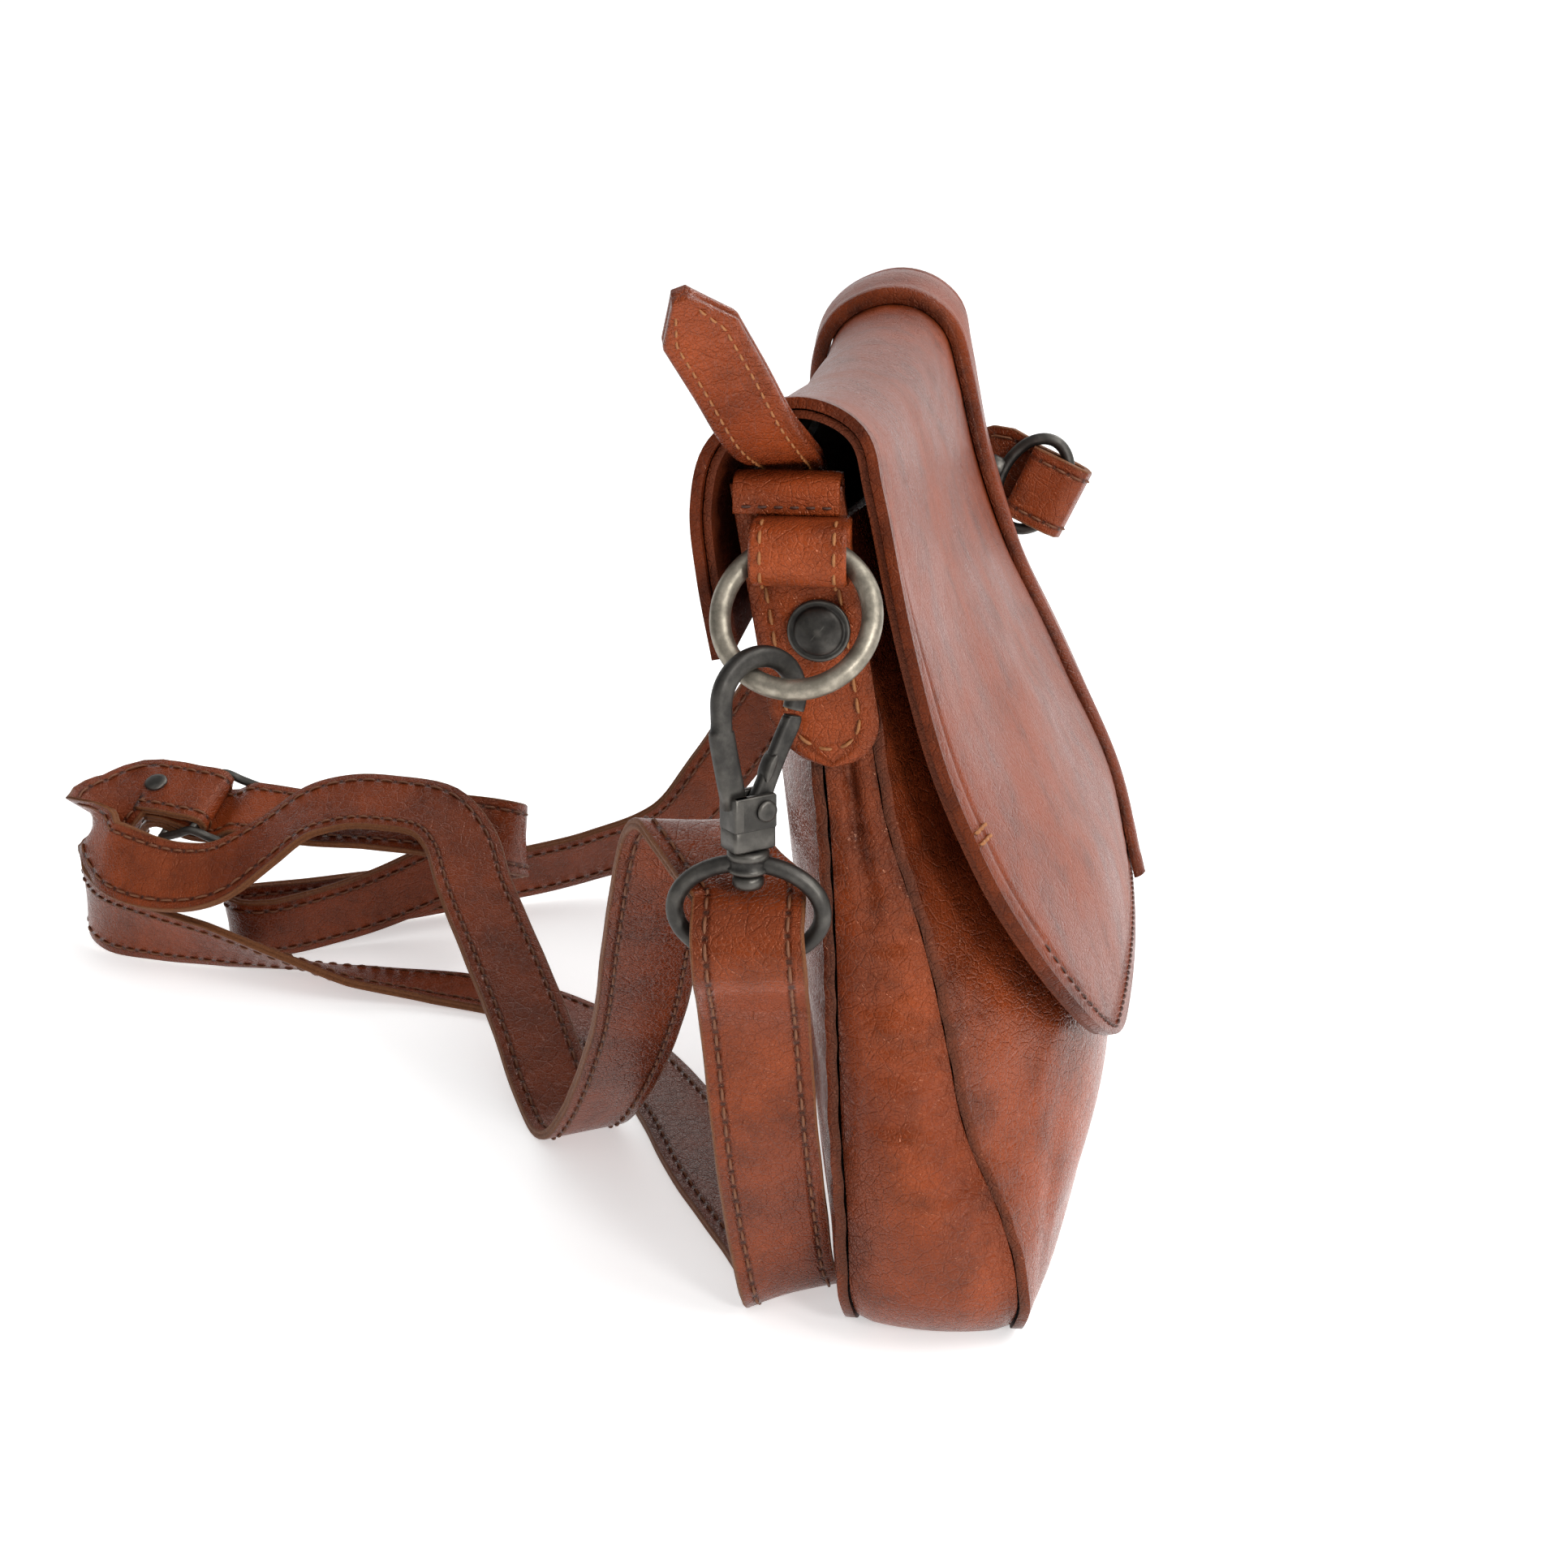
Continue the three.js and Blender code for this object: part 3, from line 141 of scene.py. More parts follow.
# Wall tables of the body: height share, then seam front, seam back, middle front and middle back depth shares
BODY_ROWS = np.array([
    (0.0, -0.27, 0.25, -0.3, 0.27),
    (0.07, -0.3, 0.27, -0.4, 0.34),
    (0.17, -0.25, 0.28, -0.49, 0.4),
    (0.29, -0.13, 0.3, -0.53, 0.44),
    (0.4, -0.07, 0.31, -0.5, 0.47),
    (0.52, 0.0, 0.32, -0.37, 0.5),
    (0.66, 0.11, 0.34, -0.17, 0.54),
    (0.8, 0.17, 0.38, 0.02, 0.57),
    (0.92, 0.24, 0.45, 0.14, 0.57),
    (1.0, 0.28, 0.49, 0.2, 0.56),
])
SEAM_COLUMN = {"front": 1, "back": 2}
MIDDLE_COLUMN = {"front": 3, "back": 4}

# Free side edge of the flap: depth share and height share
FLAP_EDGE_ROWS = np.array([
    (0.56, 0.77), (0.6, 0.85), (0.615, 0.915), (0.58, 0.965), (0.47, 0.993), (0.36, 1.0), (0.25, 0.98),
    (0.21, 0.93), (0.12, 0.78), (0.02, 0.655), (-0.09, 0.565), (-0.25,
                                                                0.455), (-0.36, 0.37), (-0.42, 0.306),
])

# Wavy seam: share along the flap and share across its width
WAVE_ROWS = np.array([
    (0.0, 0.37), (0.34, 0.36), (0.48, 0.347), (0.6, 0.318), (0.7, 0.263), (0.81,
                                                                           0.19), (0.91, 0.12), (1.0, 0.075),
])


def vec(*values):
    return np.array(values, float)


def unit(values):
    values = np.asarray(values, float)
    return values / np.maximum(np.linalg.norm(values, axis=-1, keepdims=True), 1e-12)


def table_value(rows, column, at):
    """Catmull-Rom value of a table's column: each stretch is the cubic through its four nearest rows."""
    at = np.asarray(at, float)
    keys = rows[:, 0]
    values = rows[:, column]
    last = len(rows) - 1
    i = np.clip(np.searchsorted(keys, at, side="left") - 1, 0, last - 1)
    share = np.clip((at - keys[i]) / (keys[i + 1] - keys[i]), 0.0, 1.0)
    before = values[np.maximum(i - 1, 0)]
    after = values[np.minimum(i + 2, last)]
    start = values[i]
    stop = values[i + 1]
    return (start + 0.5 * share * (stop - before)
            + share ** 2 * (before - 2.5 * start + 2 * stop - 0.5 * after)
            + share ** 3 * (1.5 * (start - stop) + 0.5 * (after - before)))


def smooth_path(points, per_span):
    """Centripetal Catmull-Rom curve through the points, and the matching fractional row of each sample."""
    points = np.asarray(points, float)
    padded = np.vstack([2 * points[0] - points[1], points, 2 * points[-1] - points[-2]])
    samples = []
    rows = []
    for i in range(len(points) - 1):
        a, b, c, d = padded[i:i + 4]
        knots = np.cumsum([0.0] + [max(np.linalg.norm(q - p) ** 0.5, 1e-6) for p,
                                   q in ((a, b), (b, c), (c, d))])
        t0, t1, t2, t3 = knots
        count = per_span[i] if hasattr(per_span, "__len__") else per_span
        share = np.arange(count + (i == len(points) - 2)) / count
        t = (t1 + (t2 - t1) * share)[:, None]
        ab = (t1 - t) / (t1 - t0) * a + (t - t0) / (t1 - t0) * b
        bc = (t2 - t) / (t2 - t1) * b + (t - t1) / (t2 - t1) * c
        cd = (t3 - t) / (t3 - t2) * c + (t - t2) / (t3 - t2) * d
        low = (t2 - t) / (t2 - t0) * ab + (t - t0) / (t2 - t0) * bc
        high = (t3 - t) / (t3 - t1) * bc + (t - t1) / (t3 - t1) * cd
        samples.append((t2 - t) / (t2 - t1) * low + (t - t1) / (t2 - t1) * high)
        rows.append(i + share)
    return np.vstack(samples), np.concatenate(rows)


def even_path(points, count):
    """The smooth curve through the points, resampled at count even distances."""
    dense, _ = smooth_path(points, 24)
    length = np.concatenate([[0.0], np.cumsum(np.linalg.norm(np.diff(dense, axis=0), axis=1))])
    at = np.linspace(0, length[-1], count)
    return np.stack([np.interp(at, length, dense[:, k]) for k in range(3)], -1)


def soft_noise(u, v, scale, seed):
    """Sum of five slanted sine waves with seeded directions and phases, about -1 to 1."""
    rng = np.random.default_rng(seed)
    total = np.zeros(np.broadcast(u, v).shape)
    for _ in range(5):
        angle = rng.uniform(0, math.tau)
        size = scale * rng.uniform(0.6, 1.7)
        across = u * math.cos(angle) + v * math.sin(angle)
        total += np.sin(across * math.tau / size + rng.uniform(0, math.tau))
    return total / 3.0


def bump(value, centre, width):
    """Bell of height 1 round a centre: exp(-((value - centre) / width) squared)."""
    return np.exp(-((value - centre) / width) ** 2)


def grid_normals(grid):
    """Unit normals of a grid surface: cross product of the two central differences."""
    return unit(np.cross(np.gradient(grid, axis=1), np.gradient(grid, axis=0)))


def new_mesh(name, verts, faces, attributes=None, uv=None, smooth=True):
    mesh = bpy.data.meshes.new(name)
    mesh.from_pydata((np.asarray(verts) * MM).tolist(), [], faces)
    mesh.validate()
    for key, values in (attributes or {}).items():
        layer = mesh.attributes.new(key, "FLOAT", "POINT")
        layer.data.foreach_set("value", np.asarray(values, np.float32).ravel())
    if uv is not None:
        layer = mesh.uv_layers.new(name="UVMap")
        loops = np.empty(len(mesh.loops), np.int32)
        mesh.loops.foreach_get("vertex_index", loops)
        layer.data.foreach_set("uv", np.asarray(uv, np.float32)[loops].ravel())
    mesh.polygons.foreach_set("use_smooth", [smooth] * len(mesh.polygons))
    piece = bpy.data.objects.new(name, mesh)
    bpy.context.scene.collection.objects.link(piece)
    return piece


def face_outwards(verts, faces):
    """Reverses every face where the closed mesh's signed volume is negative."""
    verts = np.asarray(verts)
    a = verts[[f[0] for f in faces]]
    b = verts[[f[1] for f in faces]]
    c = verts[[f[2] for f in faces]]
    volume = np.einsum("ij,ij->", a, np.cross(b, c))
    if len(faces[0]) == 4:
        d = verts[[f[-1] for f in faces]]
        volume += np.einsum("ij,ij->", a, np.cross(c, d))
    return faces if volume > 0 else [f[::-1] for f in faces]


def quads(rows, columns, closed_rows=False, closed_columns=False):
    """Quad faces of a rows by columns grid of vertices, joined round where asked."""
    i = np.arange(rows if closed_rows else rows - 1)[:, None]
    j = np.arange(columns if closed_columns else columns - 1)[None, :]
    i2 = (i + 1) % rows
    j2 = (j + 1) % columns
    faces = np.stack(np.broadcast_arrays(i * columns + j, i2 * columns + j, i2 * columns + j2,
                                         i * columns + j2), -1)
    return faces.reshape(-1, 4)


def wall_piece(name, outer, inner, masks=None, bevel=0.35):
    """Closed wall between two grids; its rims are four strips that join their borders, with a small bevel."""
    rows, columns = outer.shape[:2]
    count = rows * columns
    verts = np.vstack([outer.reshape(-1, 3), inner.reshape(-1, 3)])
    top = quads(rows, columns)
    under = top[:, ::-1] + count
    index = np.arange(count).reshape(rows, columns)
    border = np.concatenate([index[0, :-1], index[:-1, -1], index[-1, :0:-1], index[:0:-1, 0]])
    follow = np.roll(border, -1)
    rim = np.stack([border, follow, follow + count, border + count], -1)
    faces = np.vstack([top, under, rim]).tolist()
    faces = face_outwards(verts, faces)
    attributes = {key: np.concatenate([values.ravel(), values.ravel()]) for key,
                  values in (masks or {}).items()}
    raw = np.zeros(2 * count)
    attributes["inside"] = np.concatenate([np.zeros(count), np.ones(count)])
    attributes.setdefault("burnish_and_shade", raw)
    piece = new_mesh(name, verts, faces, attributes)
    if bevel:
        edge = piece.modifiers.new("rounded rim", "BEVEL")
        edge.width = bevel * MM
        edge.segments = 2
        edge.limit_method = "ANGLE"
        edge.angle_limit = math.radians(50)
    return piece


def loft_mesh(loops, closed=False):
    """Vertices and faces of a skin over equal loops of points, capped at both ends unless it closes."""
    loops = np.asarray(loops, float)
    rows, columns = loops.shape[:2]
    verts = loops.reshape(-1, 3)
    faces = quads(rows, columns, closed, True).tolist()
    if not closed:
        centres = np.stack([loops[0].mean(0), loops[-1].mean(0)])
        verts = np.vstack([verts, centres])
        first = rows * columns
        ring = np.arange(columns)
        follow = np.roll(ring, -1)
        end = (rows - 1) * columns
        faces += np.stack([np.full(columns, first), ring, follow], -1).tolist()
        faces += np.stack([np.full(columns, first + 1), end + follow, end + ring], -1).tolist()
    return verts, faces


def join_meshes(parts):
    verts = []
    faces = []
    start = 0
    for part_verts, part_faces in parts:
        centre = part_verts.mean(0)
        quad_faces = [f for f in part_faces if len(f) == 4]
        a, b, c, d = (part_verts[[f[k] for f in quad_faces]] - centre for k in range(4))
        volume = np.einsum("ij,ij->", a, np.cross(b, c)) + np.einsum("ij,ij->", a, np.cross(c, d))
        ordered = part_faces if volume > 0 else [f[::-1] for f in part_faces]
        verts.append(part_verts)
        faces += [[i + start for i in f] for f in ordered]
        start += len(part_verts)
    return np.vstack(verts), faces


def loft_piece(name, parts, bevel=0.0):
    verts, faces = join_meshes(parts)
    piece = new_mesh(name, verts, faces)
    if bevel:
        edge = piece.modifiers.new("rounded edges", "BEVEL")
        edge.width = bevel * MM
        edge.segments = 3
        edge.limit_method = "ANGLE"
        edge.angle_limit = math.radians(40)
    return piece


def superellipse(count, half_width, half_height, power):
    """Loop of points: signed powers of cosine and sine, so a low power gives a rounded rectangle."""
    angle = np.arange(count) / count * math.tau
    cosine = np.cos(angle)
    sine = np.sin(angle)
    return np.stack([half_width * np.sign(cosine) * np.abs(cosine) ** power,
                     half_height * np.sign(sine) * np.abs(sine) ** power], -1)


def wire_mesh(centres, radius, normal, sides=14, closed=True):
    """Round bar along centres that lie in a plane with the given normal."""
    centres = np.asarray(centres, float)
    ahead = np.roll(centres, -1, 0) - np.roll(centres, 1, 0) if closed else np.gradient(centres, axis=0)
    out = unit(np.cross(unit(ahead), normal))
    angle = (np.arange(sides) / sides * math.tau)[None, :, None]
    loops = centres[:, None] + radius * (np.cos(angle) * out[:, None] + np.sin(angle) * np.asarray(normal))
    return loft_mesh(loops, closed)


def oval(centre, across, up, half_width, half_height, count=64):
    angle = (np.arange(count) / count * math.tau)[:, None]
    return centre + half_width * np.cos(angle) * across + half_height * np.sin(angle) * up


def stitch_row(name, path, normals, pitch=4.4, length=3.1, radius=0.33, lift=0.12,
               along=None):
    """Row of thread stitches: each a bowed capsule with its ends sunk and its middle proud."""
    path = np.asarray(path, float)
    if along is None:
        along = np.concatenate([[0.0], np.cumsum(np.linalg.norm(np.diff(path, axis=0), axis=1))])
        count = max(int(along[-1] / pitch), 1)
        pitch = along[-1] / count
    count = max(int(along[-1] / pitch), 1)
    starts = (np.arange(count) + 0.5) * pitch
    share = np.array([-0.5, -0.3, 0.0, 0.3, 0.5])
    height = np.array([-0.75, 0.35, 0.75, 0.35, -0.75]) * radius + lift
    size = np.array([0.55, 0.95, 1.0, 0.95, 0.55]) * radius
    at = starts[:, None] + share[None, :] * length

    def sample(values):
        return np.stack([np.interp(at.ravel(), along, values[:, k]) for k in range(3)],
                        -1).reshape(count, 5, 3)

    centre = sample(path)
    normal = unit(sample(np.asarray(normals, float)))
    tangent = unit(np.gradient(centre, axis=1))
    side = unit(np.cross(normal, tangent))
    centre = centre + normal * height[None, :, None]
    angle = (np.arange(6) / 6 * math.tau)[None, None, :, None]
    loops = centre[:, :, None] + size[None, :, None, None] * (
        np.cos(angle) * side[:, :, None] + np.sin(angle) * normal[:, :, None])
    verts = loops.reshape(-1, 3)
    # thread under a band that lies on the floor is pressed flat against it
    verts[:, 2] = np.maximum(verts[:, 2], 0.02)
    one = quads(5, 6, False, True)
    cap = np.array([[5, 4, 3, 2], [5, 2, 1, 0], [24, 25, 26, 27], [24, 27, 28, 29]])
    shape = np.vstack([one[:, ::-1], cap[:, ::-1]])
    faces = (shape[None] + (np.arange(count) * 30)[:, None, None]).reshape(-1, 4)
    return new_mesh(name, verts, faces.tolist())


# Shader node groups

def group_input(group, name, kind, default=None):
    socket = group.interface.new_socket(name, in_out="INPUT", socket_type=kind)
    if default is not None:
        socket.default_value = default
    return socket


def link_math(tree, operation, *values, clamp=False):
    node = tree.nodes.new("ShaderNodeMath")
    node.operation = operation
    node.use_clamp = clamp
    for socket, value in zip(node.inputs, values):
        if hasattr(value, "is_linked"):
            tree.links.new(value, socket)
        else:
            socket.default_value = value
    return node.outputs[0]


def mix_colour(tree, factor, a, b, blend="MIX"):
    node = tree.nodes.new("ShaderNodeMix")
    node.data_type = "RGBA"
    node.blend_type = blend
    for socket, value in ((node.inputs[0], factor), (node.inputs[6], a), (node.inputs[7], b)):
        if hasattr(value, "is_linked"):
            tree.links.new(value, socket)
        else:
            socket.default_value = value
    return node.outputs[2]


def noise(tree, coords, scale, detail, roughness=0.55, distortion=0.0):
    node = tree.nodes.new("ShaderNodeTexNoise")
    node.inputs["Scale"].default_value = scale
    node.inputs["Detail"].default_value = detail
    node.inputs["Roughness"].default_value = roughness
    node.inputs["Distortion"].default_value = distortion
    tree.links.new(coords, node.inputs["Vector"])
    return node.outputs["Fac"]


def ramp(tree, value, low, high):
    node = tree.nodes.new("ShaderNodeMapRange")
    node.interpolation_type = "SMOOTHSTEP"
    node.inputs["From Min"].default_value = low
    node.inputs["From Max"].default_value = high
    tree.links.new(value, node.inputs["Value"])
    return node.outputs["Result"]


def leather_group():
    """Leather from object coordinates: mottled colour, pore and wrinkle height, and roughness; a darkening
    input darkens it for burnished edges and for painted shade.
    """
    group = bpy.data.node_groups.new("leather surface", "ShaderNodeTree")
    group_input(group, "Coordinates", "NodeSocketVector")
    group_input(group, "Base", "NodeSocketColor", (0.3, 0.1, 0.04, 1))
    group_input(group, "Light", "NodeSocketColor", (0.5, 0.2, 0.08, 1))
    group_input(group, "Dark", "NodeSocketColor", (0.08, 0.02, 0.01, 1))
    group_input(group, "Burnish", "NodeSocketFloat", 0.0)
    group_input(group, "Roughness", "NodeSocketFloat", 0.42)
    for name, kind in (("Colour", "NodeSocketColor"), ("Roughness", "NodeSocketFloat"),
                       ("Height", "NodeSocketFloat")):
        group.interface.new_socket(name, in_out="OUTPUT", socket_type=kind)
    tree = group
    source = tree.nodes.new("NodeGroupInput")
    target = tree.nodes.new("NodeGroupOutput")
    coords = source.outputs["Coordinates"]
    cloud = ramp(tree, noise(tree, coords, 28, 5, 0.6), 0.32, 0.7)
    blotch = ramp(tree, noise(tree, coords, 85, 6, 0.65), 0.4, 0.75)
    streak = ramp(tree, noise(tree, coords, 240, 8, 0.7, 0.6), 0.38, 0.72)
    colour = mix_colour(tree, cloud, source.outputs["Base"], source.outputs["Light"])
    colour = mix_colour(tree, link_math(tree, "MULTIPLY", blotch, 0.5), colour, source.outputs["Dark"])
    colour = mix_colour(tree, link_math(tree, "MULTIPLY", streak, 0.16), colour, source.outputs["Light"])
    # painted shade and burnished edges: the darkening value mixes the colour towards the dark colour
    worn_and_shaded = link_math(tree, "MULTIPLY", source.outputs["Burnish"],
                     link_math(tree, "ADD", link_math(tree, "MULTIPLY", blotch, 0.4), 0.62), clamp=True)
    colour = mix_colour(tree, worn_and_shaded, colour, source.outputs["Dark"])
    cells = tree.nodes.new("ShaderNodeTexVoronoi")
    cells.feature = "DISTANCE_TO_EDGE"
    cells.inputs["Scale"].default_value = 1150
    tree.links.new(coords, cells.inputs["Vector"])
    pores = ramp(tree, cells.outputs["Distance"], 0.0, 0.16)
    crease = tree.nodes.new("ShaderNodeTexVoronoi")
    crease.feature = "DISTANCE_TO_EDGE"
    crease.inputs["Scale"].default_value = 330
    tree.links.new(coords, crease.inputs["Vector"])
    lines = link_math(tree, "MULTIPLY", ramp(tree, crease.outputs["Distance"], 0.0, 0.08), 0.6)
    height = link_math(tree, "ADD", link_math(tree, "MULTIPLY", pores, 0.45), lines)
    height = link_math(tree, "ADD", height, link_math(tree, "MULTIPLY", noise(tree, coords, 420, 6), 0.7))
    rough = link_math(tree, "ADD", source.outputs["Roughness"], link_math(tree, "MULTIPLY", cloud, 0.14))
    rough = link_math(tree, "SUBTRACT", rough, link_math(tree, "MULTIPLY", pores, 0.06))
    tree.links.new(colour, target.inputs["Colour"])
    tree.links.new(rough, target.inputs["Roughness"])
    tree.links.new(height, target.inputs["Height"])
    return group


def metal_group():
    """Antique metal: dark plating, brighter where noise and the wear value rub it."""
    group = bpy.data.node_groups.new("antique metal surface", "ShaderNodeTree")
    group_input(group, "Coordinates", "NodeSocketVector")
    group_input(group, "Dark", "NodeSocketColor", (0.05, 0.05, 0.045, 1))
    group_input(group, "Bright", "NodeSocketColor", (0.3, 0.28, 0.24, 1))
    group_input(group, "Wear", "NodeSocketFloat", 0.5)
    for name, kind in (("Colour", "NodeSocketColor"), ("Roughness", "NodeSocketFloat"),
                       ("Height", "NodeSocketFloat")):
        group.interface.new_socket(name, in_out="OUTPUT", socket_type=kind)
    tree = group
    source = tree.nodes.new("NodeGroupInput")
    target = tree.nodes.new("NodeGroupOutput")
    coords = source.outputs["Coordinates"]
    patches = noise(tree, coords, 260, 6, 0.6)
    grain = noise(tree, coords, 1400, 5, 0.7)
    geometry = tree.nodes.new("ShaderNodeNewGeometry")
    edges = ramp(tree, geometry.outputs["Pointiness"], 0.5, 0.58)
    rubbed = link_math(tree, "MULTIPLY", ramp(tree, patches, 0.35, 0.75), source.outputs["Wear"],
                       clamp=True)
    rubbed = link_math(tree, "ADD", rubbed, link_math(tree, "MULTIPLY", edges, 0.5), clamp=True)
    colour = mix_colour(tree, rubbed, source.outputs["Dark"], source.outputs["Bright"])
    rough = link_math(tree, "SUBTRACT", 0.46, link_math(tree, "MULTIPLY", rubbed, 0.16))
    rough = link_math(tree, "ADD", rough, link_math(tree, "MULTIPLY", grain, 0.1))
    tree.links.new(colour, target.inputs["Colour"])
    tree.links.new(rough, target.inputs["Roughness"])
    tree.links.new(grain, target.inputs["Height"])
    return group


def stitch_hole_group():
    """Punched holes of two stitch rows: dots at each pitch, from the strap's UV in metres."""
    group = bpy.data.node_groups.new("punched holes", "ShaderNodeTree")
    group_input(group, "UV", "NodeSocketVector")
    group_input(group, "Inset", "NodeSocketFloat", 3.0 * MM)
    group_input(group, "Pitch", "NodeSocketFloat", 4.4 * MM)
    group.interface.new_socket("Mask", in_out="OUTPUT", socket_type="NodeSocketFloat")
    group.interface.new_socket("Groove", in_out="OUTPUT", socket_type="NodeSocketFloat")
    tree = group
    source = tree.nodes.new("NodeGroupInput")
    target = tree.nodes.new("NodeGroupOutput")
    split = tree.nodes.new("ShaderNodeSeparateXYZ")
    tree.links.new(source.outputs["UV"], split.inputs[0])
    toward = link_math(tree, "ABSOLUTE", split.outputs["Y"])
    off = link_math(tree, "ABSOLUTE", link_math(tree, "SUBTRACT", toward, source.outputs["Inset"]))
    groove = link_math(tree, "SUBTRACT", 1.0, ramp(tree, off, 0.2 * MM, 1.1 * MM))
    phase = link_math(tree, "FRACT", link_math(tree, "DIVIDE", split.outputs["X"], source.outputs["Pitch"]))
    gap = link_math(tree, "ABSOLUTE", link_math(tree, "SUBTRACT", phase, 0.5))
    dot_along = ramp(tree, gap, 0.36, 0.46)
    dot_across = link_math(tree, "SUBTRACT", 1.0, ramp(tree, off, 0.35 * MM, 0.75 * MM))
    tree.links.new(link_math(tree, "MULTIPLY", dot_along, dot_across), target.inputs["Mask"])
    tree.links.new(groove, target.inputs["Groove"])
    return group


def read_attribute(tree, name):
    node = tree.nodes.new("ShaderNodeAttribute")
    node.attribute_name = name
    return node.outputs["Fac"]


def place_group(tree, group, **values):
    node = tree.nodes.new("ShaderNodeGroup")
    node.node_tree = group
    for key, value in values.items():
        socket = node.inputs[key]
        if hasattr(value, "is_linked"):
            tree.links.new(value, socket)
        else:
            socket.default_value = value
    return node


def new_material(name):
    material = bpy.data.materials.new(name)
    material.use_nodes = True
    tree = material.node_tree
    shader = tree.nodes["Principled BSDF"]
    coords = tree.nodes.new("ShaderNodeTexCoord").outputs["Object"]
    return material, tree, shader, coords


def add_bump(tree, shader, height, distance, strength=1.0):
    node = tree.nodes.new("ShaderNodeBump")
    node.inputs["Strength"].default_value = strength
    node.inputs["Distance"].default_value = distance
    tree.links.new(height, node.inputs["Height"])
    tree.links.new(node.outputs["Normal"], shader.inputs["Normal"])


def leather_material(name, base, light, dark, roughness=0.42, grain=0.0002, holes=None, pitch=4.4,
                     inside=None, coat=0.07,
                     gloss=0.42):
    material, tree, shader, coords = new_material(name)
    surface = place_group(tree, leather_surface, Coordinates=coords, Base=(*base, 1), Light=(*light, 1),
                          Dark=(*dark, 1), Burnish=read_attribute(tree, "burnish_and_shade"), Roughness=roughness)
    colour = surface.outputs["Colour"]
    rough = surface.outputs["Roughness"]
    height = surface.outputs["Height"]
    if inside:
        facing = read_attribute(tree, "inside")
        colour = mix_colour(tree, link_math(tree, "MULTIPLY", facing, 0.85), colour, (*inside, 1))
        rough = link_math(tree, "ADD", rough, link_math(tree, "MULTIPLY", facing, 0.25), clamp=True)
    if holes:
        uv = tree.nodes.new("ShaderNodeUVMap")
        uv.uv_map = "UVMap"
        punched = place_group(tree, stitch_holes, UV=uv.outputs["UV"], Inset=holes, Pitch=pitch * MM)
        # painted shade: near-black dots for the shade inside the punched stitch holes
        colour = mix_colour(tree, link_math(tree, "MULTIPLY", punched.outputs["Mask"], 0.85), colour,
                            (0.012, 0.005, 0.003, 1))
        # painted shade: the stitch groove darkens towards the dark colour
        colour = mix_colour(tree, link_math(tree, "MULTIPLY", punched.outputs["Groove"], 0.55), colour,
                            (*dark, 1))
        height = link_math(tree, "SUBTRACT", height, link_math(tree, "MULTIPLY", punched.outputs["Groove"],
                                                               1.2))
        raw = read_attribute(tree, "raw")
        fibre = noise(tree, coords, 900, 6, 0.8)
        edge_colour = mix_colour(tree, fibre, (0.07, 0.018, 0.008, 1), (0.28, 0.11, 0.04, 1))
        colour = mix_colour(tree, raw, colour, edge_colour)
        height = link_math(tree, "ADD", height, link_math(tree, "MULTIPLY",
                                                          link_math(tree, "MULTIPLY", raw, fibre), 3.0))
        rough = link_math(tree, "ADD", rough, link_math(tree, "MULTIPLY", raw, 0.3), clamp=True)
    tree.links.new(colour, shader.inputs["Base Color"])
    tree.links.new(rough, shader.inputs["Roughness"])
    shader.inputs["Coat Weight"].default_value = coat
    shader.inputs["Coat Roughness"].default_value = 0.26
    shader.inputs["Specular IOR Level"].default_value = gloss
    shader.inputs["Specular Tint"].default_value = (1.0, 0.5, 0.32, 1)
    add_bump(tree, shader, height, grain)
    return material


def metal_material(name, dark, bright, wear):
    material, tree, shader, coords = new_material(name)
    surface = place_group(tree, metal_surface, Coordinates=coords, Dark=(*dark, 1), Bright=(*bright, 1),
                          Wear=wear)
    tree.links.new(surface.outputs["Colour"], shader.inputs["Base Color"])
    tree.links.new(surface.outputs["Roughness"], shader.inputs["Roughness"])
    shader.inputs["Metallic"].default_value = 0.9
    add_bump(tree, shader, surface.outputs["Height"], 0.00003)
    return material


def thread_material(name, colour, dark):
    material, tree, shader, coords = new_material(name)
    twist = noise(tree, coords, 1800, 4, 0.6)
    tree.links.new(mix_colour(tree, twist, (*dark, 1), (*colour, 1)), shader.inputs["Base Color"])
    shader.inputs["Roughness"].default_value = 0.62
    add_bump(tree, shader, twist, 0.0001)
    return material


def plain_material(name, colour, roughness, glow=0.0):
    material, tree, shader, coords = new_material(name)
    speck = noise(tree, coords, 40, 3)
    tree.links.new(mix_colour(tree, speck, (*colour, 1), (*[c * 0.985 for c in colour], 1)),
                   shader.inputs["Base Color"])
    shader.inputs["Roughness"].default_value = roughness
    shader.inputs["Emission Color"].default_value = (1, 1, 1, 1)
    shader.inputs["Emission Strength"].default_value = glow
    return material


leather_surface = leather_group()
metal_surface = metal_group()
stitch_holes = stitch_hole_group()
MATERIALS = {}


